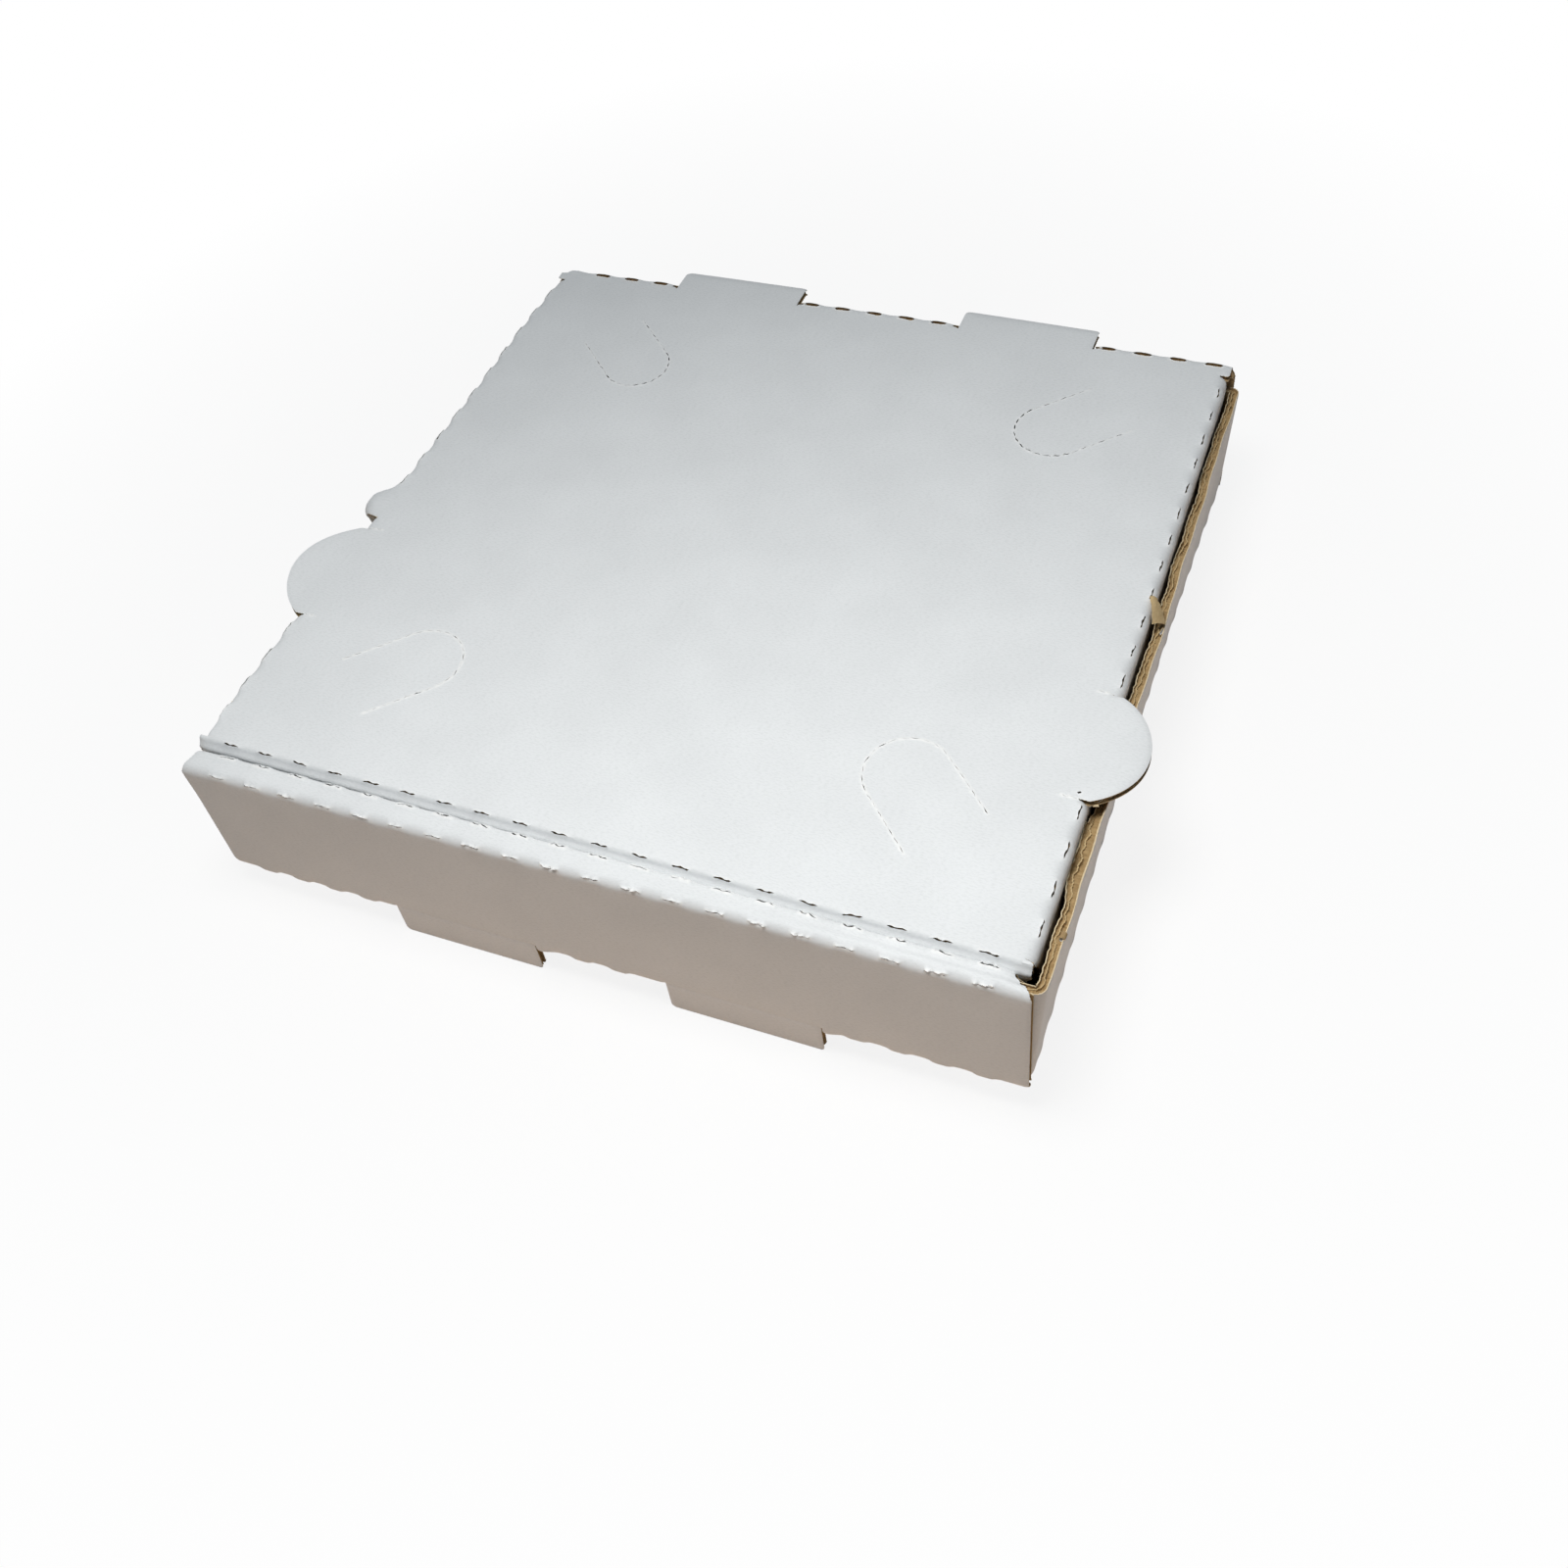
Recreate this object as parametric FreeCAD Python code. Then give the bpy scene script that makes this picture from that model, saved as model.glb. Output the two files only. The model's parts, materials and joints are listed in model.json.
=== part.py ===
import FreeCAD, Part
import math
import os

V = FreeCAD.Vector

# Folded pizza box of corrugated board, closed, in two bodies cut from one blank: the tray and its hinged lid.
# Millimetres. X to the right, Y from the front wall to the hinge, Z up.
# The origin is the centre of the underside of the floor.

# Driving sizes

BOARD = 2.7              # thickness of the corrugated board
PLY_GAP = 0.2            # air between two layers that lie flat on each other
KNIFE = 0.5              # room left by the cutting knife round a part that swings through its own hole

BOX_WIDTH = 267.0        # front wall from end to end
BOX_DEPTH = 268.0        # outside, front wall to back wall
FRONT_HEIGHT = 51.0      # underside of the floor to the top fold of the front wall
SIDE_HEIGHT = 46.0       # side walls and corner tabs stop short of the lid
SIDE_LEAN = 2.8          # the lid's flaps push each side wall out at its top edge

FOLD_OUT = 2.6           # outside radius of a fold
FOLD_IN = 0.6            # inside radius of a fold

STRIP_END_CUT = 0.8      # the top strip starts this far in from the end of the front wall
FOOT_GAP = 0.3           # inner front wall and corner tabs stop this far above the floor
CORNER_TAB_LENGTH = 46.0
CORNER_TAB_ROUND = 9.0

LOCK_WIDTH = 49.6        # the two drop tabs of the front wall, cut from the floor
LOCK_CENTRE = 47.0
LOCK_DROP = 10.0         # reach of the drop tabs below the floor
LOCK_CLEARANCE = 1.2     # the inner wall's lock tongue is this much narrower than the slot, each side
TAB_ROUND = 2.0          # corner radius of the drop tabs and of the vent tabs

LID_PROUD = 1.5          # the lid's top face above the top fold of the front wall
LID_SIDE_GAP = 0.3       # between a side flap and the top edge of the side wall
LID_FRONT_GAP = 0.5      # between the top strip and the lid's front fold
FLAP_LENGTH = 38.0       # tuck flaps, from the lid's top face to the foot
FRONT_TOE_IN = 6.0       # degrees that the front flap slopes in, so that it swings clear
SIDE_TOE_IN = 3.5        # degrees that the side flaps slope in
FLAP_TAPER = 12.0        # each end of a flap runs in by this much at the foot
FLAP_ROUND = 8.0
FLAP_CLEARANCE = 1.5     # between the ends of neighbouring flaps, and from a flap to a corner tab
LID_CORNER = 4.0         # radius of the lid's two rear corners
LID_FRONT_CORNER = 1.2   # radius of its two front corners, beside the end of the front fold

VENT_WIDTH = 50.4        # the two tabs that stay with the lid when it folds over the back wall
VENT_CENTRE = 57.3
VENT_REACH = 10.3        # beyond the outer face of the back wall
HINGE_GAP = 0.3          # running clearance under the rounded rear edge of the lid

EAR_CHORD = 41.6         # thumb ears: segments of a circle on the lid's side folds
EAR_REACH = 12.4
EAR_Y = -47.0

PUNCH_WIDTH = 26.2       # the four perforated tongues in the lid, still held by their nicks
PUNCH_LENGTH = 36.5
PUNCH_INSET = 35.4       # middle of the open end, from the lid's side fold and from its front or rear edge
PUNCH_ANGLE = 44.0       # degrees between the tongue and the X axis
PUNCH_CUT = 0.5
PUNCH_NICK = 2.2

PERF_PITCH = 12.7        # perforated creases: pitch, length, width and depth of the slits
PERF_SLIT = 5.7
PERF_WIDTH = 0.7
PERF_DEPTH = 2.2
PERF_MARGIN = 6.0        # no slit comes nearer than this to the end of a crease

# Places that follow

HALF_W = BOX_WIDTH / 2
FRONT = -BOX_DEPTH / 2
REAR = BOX_DEPTH / 2
LAYER = BOARD + PLY_GAP
STRIP_WIDTH = 3 * BOARD + 2 * PLY_GAP            # outer wall, corner tab and inner wall side by side
STRIP_BACK = FRONT + STRIP_WIDTH
INNER_HALF = HALF_W - BOARD - 3 * PLY_GAP        # half length of the inner front wall, between the side walls

LID_TOP = FRONT_HEIGHT + LID_PROUD
LID_UNDER = LID_TOP - BOARD
LID_HALF = HALF_W + SIDE_LEAN - BOARD - LID_SIDE_GAP
LID_FRONT = STRIP_BACK + LID_FRONT_GAP
AXIS_Y = REAR - BOARD / 2                        # the hinge line runs through the middle of both boards
AXIS_Z = LID_TOP - BOARD / 2
BACK_HEIGHT = LID_UNDER - HINGE_GAP

TAB_RADIUS = VENT_REACH + BOARD / 2              # from the hinge line to the tip of a vent tab
VENT_SILL = AXIS_Z - math.hypot(TAB_RADIUS, BOARD / 2) - KNIFE
SIDE_FLAP_START = LID_FRONT + BOARD + FLAP_CLEARANCE
SIDE_FLAP_END = REAR - 2 * LAYER - FLAP_CLEARANCE
FRONT_FLAP_HALF = LID_HALF - FLAP_CLEARANCE
SMALL = 0.01
BEYOND = 2.0                                     # how far a cutting shape runs past what it cuts


# Helpers

def place(plane, u, v):
    """A point of a sketch plane named by its two axes."""
    return {"XY": V(u, v, 0), "XZ": V(u, 0, v), "YZ": V(0, u, v)}[plane]


def outline(plane, corners):
    """Closed face through corners (u, v) or (u, v, radius); a radius rounds its corner."""
    points = [place(plane, c[0], c[1]) for c in corners]
    radii = [c[2] if len(c) > 2 else 0 for c in corners]
    count = len(points)
    starts, ends, middles = [], [], []
    for i, (here, radius) in enumerate(zip(points, radii)):
        back = (points[i - 1] - here).normalize()
        ahead = (points[(i + 1) % count] - here).normalize()
        half = back.getAngle(ahead) / 2
        reach = radius / math.tan(half)
        bisector = (back + ahead).normalize() if radius else V()
        starts.append(here + back * reach)
        ends.append(here + ahead * reach)
        middles.append(here + bisector * (radius / math.sin(half) - radius))
    edges = []
    for i in range(count):
        if radii[i]:
            edges.append(Part.Arc(starts[i], middles[i], ends[i]).toShape())
        following = starts[(i + 1) % count]
        if (following - ends[i]).Length > SMALL:
            edges.append(Part.makeLine(ends[i], following))
    return Part.Face(Part.Wire(edges))


def slab(plane, corners, low, high):
    """An outline made solid from low to high along the axis that its plane leaves out."""
    axis = {"XY": V(0, 0, 1), "XZ": V(0, 1, 0), "YZ": V(1, 0, 0)}[plane]
    face = outline(plane, corners)
    face.translate(axis * low)
    return face.extrude(axis * (high - low))


def block(x0, x1, y0, y1, z0, z1):
    return Part.makeBox(x1 - x0, y1 - y0, z1 - z0, V(x0, y0, z0))


def both_sides(shape):
    """The shape and its mirror image across the box's middle plane."""
    return [shape, shape.mirror(V(), V(1, 0, 0))]


def join(shapes):
    return shapes[0].multiFuse(shapes[1:]).removeSplitter()


def perforate(start, end, inward, keep_clear=()):
    """Slits centred on a crease from start to end; keep_clear holds lengths (from, to) without any."""
    along = (end - start).normalize()
    inward = V(inward).normalize()
    across = along.cross(inward)
    length = (end - start).Length
    count = int((length - 2 * PERF_MARGIN - PERF_SLIT) / PERF_PITCH) + 1
    first = (length - (count - 1) * PERF_PITCH) / 2
    slits = []
    for i in range(count):
        s = first + i * PERF_PITCH
        if any(a - PERF_SLIT / 2 < s < b + PERF_SLIT / 2 for a, b in keep_clear):
            continue
        base = start + along * s - inward * BEYOND
        ring = [base + along * (PERF_SLIT / 2 * i) + across * (PERF_WIDTH / 2 * j)
                for i, j in ((-1, -1), (1, -1), (1, 1), (-1, 1), (-1, -1))]
        slits.append(Part.Face(Part.makePolygon(ring)).extrude(inward * (BEYOND + PERF_DEPTH)))
    return slits


def spans(centres, width, origin):
    """Lengths along a crease taken up by features of one width at the given centres."""
    return [(c - width / 2 - origin, c + width / 2 - origin) for c in centres]


# Tray

def spine():
    """Back wall, floor, front wall, top strip and inner front wall: one strip of board, folded four times."""
    foot = BOARD + FOOT_GAP
    section = [
        (FRONT, FRONT_HEIGHT, FOLD_OUT),
        (FRONT, 0, FOLD_OUT),
        (REAR, 0, FOLD_OUT),
        (REAR, BACK_HEIGHT),
        (REAR - BOARD, BACK_HEIGHT),
        (REAR - BOARD, BOARD, FOLD_IN),
        (FRONT + BOARD, BOARD, FOLD_IN),
        (FRONT + BOARD, FRONT_HEIGHT - BOARD, FOLD_IN),
        (STRIP_BACK - BOARD, FRONT_HEIGHT - BOARD, FOLD_IN),
        (STRIP_BACK - BOARD, foot),
        (STRIP_BACK, foot),
        (STRIP_BACK, FRONT_HEIGHT, FOLD_OUT),
    ]
    body = slab("YZ", section, -HALF_W, HALF_W)

    # The inner wall ends between the side walls, and the strip narrows to it from the front wall's ends.
    inner_end = block(INNER_HALF, HALF_W + BEYOND, FRONT + BOARD + PLY_GAP, STRIP_BACK + BEYOND,
                      BOARD + SMALL, FRONT_HEIGHT - BOARD)
    strip_end = slab("XY", [(HALF_W - STRIP_END_CUT, FRONT + BOARD), (HALF_W + BEYOND, FRONT + BOARD),
                            (HALF_W + BEYOND, STRIP_BACK + BEYOND), (INNER_HALF, STRIP_BACK + BEYOND),
                            (INNER_HALF, STRIP_BACK)],
                     FRONT_HEIGHT - BOARD - BEYOND, FRONT_HEIGHT + BEYOND)
    # The floor's side edges belong to the side folds.
    floor_edge = block(HALF_W - BOARD, HALF_W + BEYOND, FRONT + LAYER, REAR - LAYER, -BEYOND, BOARD + BEYOND)
    cuts = both_sides(inner_end) + both_sides(strip_end) + both_sides(floor_edge)
    return body.cut(cuts)


def side_walls():
    """Floor and both side walls in one folded section; the walls lean out a little."""
    section = [
        (HALF_W + SIDE_LEAN, SIDE_HEIGHT),
        (HALF_W, 0, FOLD_OUT),
        (-HALF_W, 0, FOLD_OUT),
        (-HALF_W - SIDE_LEAN, SIDE_HEIGHT),
        (-HALF_W - SIDE_LEAN + BOARD, SIDE_HEIGHT),
        (-HALF_W + BOARD, BOARD, FOLD_IN),
        (HALF_W - BOARD, BOARD, FOLD_IN),
        (HALF_W + SIDE_LEAN - BOARD, SIDE_HEIGHT),
    ]
    return slab("XZ", section, FRONT + LAYER, REAR - LAYER)


def corner_tab(y_low):
    """A side wall's end, folded in behind the front or the back wall."""
    foot = BOARD + FOOT_GAP
    lean_at_foot = SIDE_LEAN * foot / SIDE_HEIGHT
    tip = HALF_W - CORNER_TAB_LENGTH
    shape = [
        (HALF_W + lean_at_foot, foot),
        (HALF_W + SIDE_LEAN, SIDE_HEIGHT),
        (tip, SIDE_HEIGHT, CORNER_TAB_ROUND),
        (tip, foot, CORNER_TAB_ROUND),
    ]
    return slab("XZ", shape, y_low, y_low + BOARD)


def lock(centre):
    """The front wall's drop tab, the slot that it leaves in the floor, and the tongue in that slot."""
    low, high = centre - LOCK_WIDTH / 2, centre + LOCK_WIDTH / 2
    slot_end = FRONT + BOARD + LOCK_DROP
    slot = block(low, high, FRONT - BEYOND, slot_end, -BEYOND, BOARD + FOOT_GAP / 2)
    tab = slab("XZ", [(low, BOARD + FOOT_GAP), (high, BOARD + FOOT_GAP), (high, -LOCK_DROP, TAB_ROUND),
                      (low, -LOCK_DROP, TAB_ROUND)], FRONT, FRONT + BOARD)
    tongue_low, tongue_high = low + LOCK_CLEARANCE, high - LOCK_CLEARANCE
    tongue = slab("XZ", [(tongue_low, 2 * BOARD), (tongue_high, 2 * BOARD),
                         (tongue_high, FOOT_GAP, BOARD / 2), (tongue_low, FOOT_GAP, BOARD / 2)],
                  STRIP_BACK - BOARD, STRIP_BACK)
    return slot, [tab, tongue]


def vent_hole(centre):
    """The hole that a vent tab leaves in the back wall, open to the hinge line."""
    half = VENT_WIDTH / 2 + KNIFE
    return block(centre - half, centre + half, REAR - BOARD - SMALL, REAR + BEYOND, VENT_SILL, LID_TOP)


def tray():
    slots, lock_parts = [], []
    for centre in (-LOCK_CENTRE, LOCK_CENTRE):
        slot, parts = lock(centre)
        slots.append(slot)
        lock_parts += parts
    tabs = both_sides(corner_tab(FRONT + LAYER)) + both_sides(corner_tab(REAR - LAYER - BOARD))
    body = join([spine(), side_walls()] + tabs).cut(slots)
    body = join([body] + lock_parts)

    holes = [vent_hole(-VENT_CENTRE), vent_hole(VENT_CENTRE)]
    holes += perforate(V(-HALF_W, FRONT, FRONT_HEIGHT), V(HALF_W, FRONT, FRONT_HEIGHT), (0, 1, -1))
    locks = spans((-LOCK_CENTRE, LOCK_CENTRE), LOCK_WIDTH + 2 * TAB_ROUND, -HALF_W)
    holes += perforate(V(-HALF_W, FRONT, 0), V(HALF_W, FRONT, 0), (0, 1, 1), locks)
    holes += perforate(V(-HALF_W, REAR, 0), V(HALF_W, REAR, 0), (0, -1, 1))
    side_slits = perforate(V(HALF_W, FRONT, 0), V(HALF_W, REAR, 0), (-1, 0, 1))
    for slit in side_slits:
        holes += both_sides(slit)
    return body.cut(holes).removeSplitter()


# Lid

def flap_corners(fold, toe_in, inward):
    """Foot corners and inner fold corner of a tuck flap whose outer fold is at (fold, LID_TOP)."""
    angle = math.radians(toe_in)
    foot_u = fold + inward * FLAP_LENGTH * math.sin(angle)
    foot_v = LID_TOP - FLAP_LENGTH * math.cos(angle)
    inner_u = foot_u + inward * BOARD * math.cos(angle)
    inner_v = foot_v + BOARD * math.sin(angle)
    run = (LID_UNDER - inner_v) * math.tan(angle)
    return (foot_u, foot_v), (inner_u, inner_v), (inner_u - inward * run, LID_UNDER, FOLD_IN)


def panel():
    """The lid's flat panel, set back along the folds that carry the flaps."""
    right = [
        (FRONT_FLAP_HALF, LID_FRONT + BOARD),
        (FRONT_FLAP_HALF, LID_FRONT),
        (LID_HALF, LID_FRONT, LID_FRONT_CORNER),
        (LID_HALF, SIDE_FLAP_START),
        (LID_HALF - BOARD, SIDE_FLAP_START),
        (LID_HALF - BOARD, SIDE_FLAP_END),
        (LID_HALF, SIDE_FLAP_END),
        (LID_HALF, AXIS_Y, LID_CORNER),
    ]
    left = [(-c[0],) + c[1:] for c in reversed(right)]
    return slab("XY", right + left, LID_UNDER, LID_TOP)


def front_flap():
    outer, inner, fold = flap_corners(LID_FRONT, FRONT_TOE_IN, 1)
    section = [(LID_FRONT, LID_TOP, FOLD_OUT), outer, inner, fold,
               (LID_FRONT + 3 * BOARD + FLAP_TAPER, LID_UNDER), (LID_FRONT + 3 * BOARD + FLAP_TAPER, LID_TOP)]
    body = slab("YZ", section, -FRONT_FLAP_HALF, FRONT_FLAP_HALF)
    low = outer[1]
    foot = FRONT_FLAP_HALF - FLAP_TAPER
    shape = [(-foot, low, FLAP_ROUND), (foot, low, FLAP_ROUND), (FRONT_FLAP_HALF, LID_UNDER),
             (FRONT_FLAP_HALF, LID_TOP + BEYOND), (-FRONT_FLAP_HALF, LID_TOP + BEYOND),
             (-FRONT_FLAP_HALF, LID_UNDER)]
    return body.common(slab("XZ", shape, FRONT - BEYOND, REAR))


def side_flaps():
    """Both side flaps on one folded section, with the holes that the ears leave."""
    outer, inner, fold = flap_corners(LID_HALF, SIDE_TOE_IN, -1)
    right = [(LID_HALF, LID_TOP, FOLD_OUT), outer, inner, fold]
    left = [(-c[0],) + c[1:] for c in reversed(right)]
    body = slab("XZ", right + left, SIDE_FLAP_START, SIDE_FLAP_END)
    low = outer[1]
    shape = [(SIDE_FLAP_START + FLAP_TAPER, low, FLAP_ROUND), (SIDE_FLAP_END - FLAP_TAPER, low, FLAP_ROUND),
             (SIDE_FLAP_END, LID_UNDER), (SIDE_FLAP_END, LID_TOP + BEYOND),
             (SIDE_FLAP_START, LID_TOP + BEYOND), (SIDE_FLAP_START, LID_UNDER)]
    body = body.common(slab("YZ", shape, -LID_HALF - BEYOND, LID_HALF + BEYOND))
    half = EAR_CHORD / 2 + KNIFE
    arc = Part.Arc(V(0, EAR_Y - half, LID_TOP), V(0, EAR_Y, LID_TOP - EAR_REACH - KNIFE),
                   V(0, EAR_Y + half, LID_TOP)).toShape()
    lift = V(0, 0, BEYOND)
    ends = [vertex.Point for vertex in arc.Vertexes]
    rest = Part.makePolygon([ends[1], ends[1] + lift, ends[0] + lift, ends[0]])
    hole = Part.Face(Part.Wire([arc] + rest.Edges))
    hole.translate(V(LID_HALF - 3 * BOARD, 0, 0))
    return body.cut(both_sides(hole.extrude(V(4 * BOARD, 0, 0))))


def ear():
    """A thumb ear: it stays flat with the lid when the flap below it folds down."""
    half = EAR_CHORD / 2
    root = LID_HALF - BOARD
    arc = Part.Arc(V(LID_HALF, EAR_Y - half, LID_UNDER), V(LID_HALF + EAR_REACH, EAR_Y, LID_UNDER),
                   V(LID_HALF, EAR_Y + half, LID_UNDER)).toShape()
    back = Part.makePolygon([V(LID_HALF, EAR_Y + half, LID_UNDER), V(root, EAR_Y + half, LID_UNDER),
                             V(root, EAR_Y - half, LID_UNDER), V(LID_HALF, EAR_Y - half, LID_UNDER)])
    return Part.Face(Part.Wire([arc] + back.Edges)).extrude(V(0, 0, BOARD))


def vent_tab(centre):
    low, high = centre - VENT_WIDTH / 2, centre + VENT_WIDTH / 2
    tip = REAR + VENT_REACH
    return slab("XY", [(low, AXIS_Y - BOARD), (high, AXIS_Y - BOARD), (high, tip, TAB_ROUND),
                       (low, tip, TAB_ROUND)], LID_UNDER, LID_TOP)


def hinge_edge():
    """The lid's rounded rear edge, which turns on the back wall."""
    length = 2 * (LID_HALF - LID_CORNER)
    return Part.makeCylinder(BOARD / 2, length, V(-length / 2, AXIS_Y, AXIS_Z), V(1, 0, 0))


def punch_cut():
    """One perforated tongue, open end at the origin and round end towards +X: a U of slits between nicks."""
    radius = PUNCH_WIDTH / 2
    straight = PUNCH_LENGTH - radius
    half = PUNCH_CUT / 2
    height = BOARD + 2 * BEYOND
    base = V(0, 0, LID_UNDER - BEYOND)
    ring = Part.makeCylinder(radius + half, height, base).cut(Part.makeCylinder(radius - half, height, base))
    ring.translate(V(straight, 0, 0))
    bend = ring.common(block(straight, straight + 2 * radius, -2 * radius, 2 * radius,
                             base.z, base.z + height))
    legs = [block(0, straight, side * radius - half, side * radius + half, base.z, base.z + height)
            for side in (-1, 1)]
    # Nicks: two across each leg, one where each leg meets the bend, and two in the bend.
    nick = PUNCH_NICK / 2
    bridges = [block(x - nick, x + nick, -2 * radius, 2 * radius, base.z, base.z + height)
               for x in (straight / 3, 2 * straight / 3, straight)]
    centre = V(straight, 0, base.z)
    for turn in (-32, 32):
        bar = block(straight, straight + 2 * radius, -nick, nick, base.z, base.z + height)
        bar.rotate(centre, V(0, 0, 1), turn)
        bridges.append(bar)
    return join([bend] + legs).cut(bridges)


def punch_cuts():
    """The four tongues, each pointing from its corner to the middle of the lid."""
    cuts = []
    for end, edge in ((-1, LID_FRONT), (1, REAR)):
        cut = punch_cut()
        cut.rotate(V(), V(0, 0, 1), 180 + end * PUNCH_ANGLE)
        cut.translate(V(LID_HALF - PUNCH_INSET, edge - end * PUNCH_INSET, 0))
        cuts += both_sides(cut)
    return cuts


def lid():
    parts = [panel(), front_flap(), side_flaps(), hinge_edge()]
    parts += both_sides(ear())
    parts += [vent_tab(-VENT_CENTRE), vent_tab(VENT_CENTRE)]
    body = join(parts)

    slits = punch_cuts()
    slits += perforate(V(-FRONT_FLAP_HALF, LID_FRONT, LID_TOP), V(FRONT_FLAP_HALF, LID_FRONT, LID_TOP),
                       (0, 1, -1))
    ears = spans((EAR_Y,), EAR_CHORD, SIDE_FLAP_START)
    side_start, side_end = V(LID_HALF, SIDE_FLAP_START, LID_TOP), V(LID_HALF, SIDE_FLAP_END, LID_TOP)
    for slit in perforate(side_start, side_end, (-1, 0, -1), ears):
        slits += both_sides(slit)
    rear_half = LID_HALF - LID_CORNER
    vents = spans((-VENT_CENTRE, VENT_CENTRE), VENT_WIDTH, -rear_half)
    slits += perforate(V(-rear_half, REAR, LID_TOP), V(rear_half, REAR, LID_TOP), (0, -1, -1), vents)
    return body.cut(slits).removeSplitter()


# Export

NODES = {"tray": tray, "lid": lid}

os.makedirs("parts", exist_ok=True)
for name, make in NODES.items():
    shape = make()
    if len(shape.Solids) != 1 or not shape.isValid():
        raise RuntimeError(name + " is not one sound solid")
    shape.Solids[0].exportStep("parts/" + name + ".step")
    print(name, "volume %.0f mm3" % shape.Volume, shape.BoundBox)
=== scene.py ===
import json
import math

import bpy
import numpy as np
from mathutils import Matrix, Vector, geometry, kdtree


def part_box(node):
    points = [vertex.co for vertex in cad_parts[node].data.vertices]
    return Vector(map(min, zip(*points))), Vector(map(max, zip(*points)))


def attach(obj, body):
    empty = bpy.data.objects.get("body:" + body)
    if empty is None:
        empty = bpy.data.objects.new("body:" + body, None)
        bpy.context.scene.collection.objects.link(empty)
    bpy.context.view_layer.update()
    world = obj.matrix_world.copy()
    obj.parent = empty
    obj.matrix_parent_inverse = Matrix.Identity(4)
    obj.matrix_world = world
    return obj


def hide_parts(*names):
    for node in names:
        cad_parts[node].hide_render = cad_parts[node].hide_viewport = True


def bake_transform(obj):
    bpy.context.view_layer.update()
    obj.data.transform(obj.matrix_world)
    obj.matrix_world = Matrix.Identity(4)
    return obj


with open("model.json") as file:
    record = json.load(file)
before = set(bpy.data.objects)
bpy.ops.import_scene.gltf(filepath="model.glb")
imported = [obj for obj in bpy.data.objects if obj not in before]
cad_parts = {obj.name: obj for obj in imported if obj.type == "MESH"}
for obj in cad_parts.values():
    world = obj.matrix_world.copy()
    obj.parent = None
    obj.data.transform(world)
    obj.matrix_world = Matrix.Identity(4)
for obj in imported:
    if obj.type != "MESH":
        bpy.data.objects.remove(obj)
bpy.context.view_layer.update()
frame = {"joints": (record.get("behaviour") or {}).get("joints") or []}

# The box is one sheet of white-lined corrugated board. Each stretch of it is drawn flat, in millimetres, with
# its cuts, slits and holes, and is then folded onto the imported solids.

MM = 0.001
rng = np.random.default_rng(20)

# Sizes from the frame
tray_low, tray_high = (np.array(c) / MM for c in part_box("tray"))
lid_low, lid_high = (np.array(c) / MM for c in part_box("lid"))
HINGE = np.array(frame["joints"][0]["pos_m"]) / MM

BOARD = 2.7
PLY_GAP = 0.2
LAYER = BOARD + PLY_GAP
LINER = 0.26                       # thickness of each paper liner
FOLD = 3.0                         # outside radius of a fold, the board's thickness and a little more
ARC = FOLD * math.pi / 2           # length of paper round a right-angled fold

FRONT, REAR = tray_low[1], tray_high[1]
FRONT_TOP = tray_high[2]
LOCK_TIP = tray_low[2]
SIDE_LEAN = 2.8
HALF_W = tray_high[0] - SIDE_LEAN
SIDE_TOP = 46.0
STRIP_BACK = FRONT + 3 * BOARD + 2 * PLY_GAP
INNER_HALF = HALF_W - BOARD - 3 * PLY_GAP
FOOT = BOARD + 0.3
CORNER_TAB = 46.0

LID_TOP = lid_high[2]
LID_FRONT = lid_low[1]
LID_HALF = HALF_W + SIDE_LEAN - BOARD - 0.3
EAR_TIP = lid_high[0]
VENT_TIP = lid_high[1]
BACK_TOP = LID_TOP - BOARD - 0.3

LOCK_AT, LOCK_WIDE, LOCK_SLOT = 47.0, 49.6, 12.7
VENT_AT, VENT_WIDE = 57.3, 50.4
VENT_SILL = HINGE[2] - math.hypot(VENT_TIP - HINGE[1], BOARD / 2) - 0.5
EAR_AT, EAR_HALF = -47.0, 20.8
FLAP = 38.0
FLAP_TAPER, FLAP_GAP = 12.0, 1.5
FRONT_TOE, SIDE_TOE = math.radians(6.0), math.radians(3.5)
SIDE_FLAP = (LID_FRONT + BOARD + FLAP_GAP, REAR - 2 * LAYER - FLAP_GAP)
FRONT_FLAP = LID_HALF - FLAP_GAP
PUNCH_RADIUS, PUNCH_LENGTH, PUNCH_INSET, PUNCH_ANGLE = 13.1, 36.5, 34.4, math.radians(44.0)
PUNCH_X = 97.6                     # middle of a punched tongue's open end, from the middle of the lid
PITCH, SLIT = 12.7, 5.7
FLUTE_PITCH = 6.4
TOOTH = 1.1                        # pitch of the toothed knife


# Flat drawing

def srgb(*screen):
    """Linear colour from 0-255 screen values, all above 10."""
    return (*(((c / 255 + 0.055) / 1.055) ** 2.4 for c in screen), 1)


def smooth(x):
    x = np.clip(x, 0.0, 1.0)
    return x * x * (3 - 2 * x)


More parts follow.
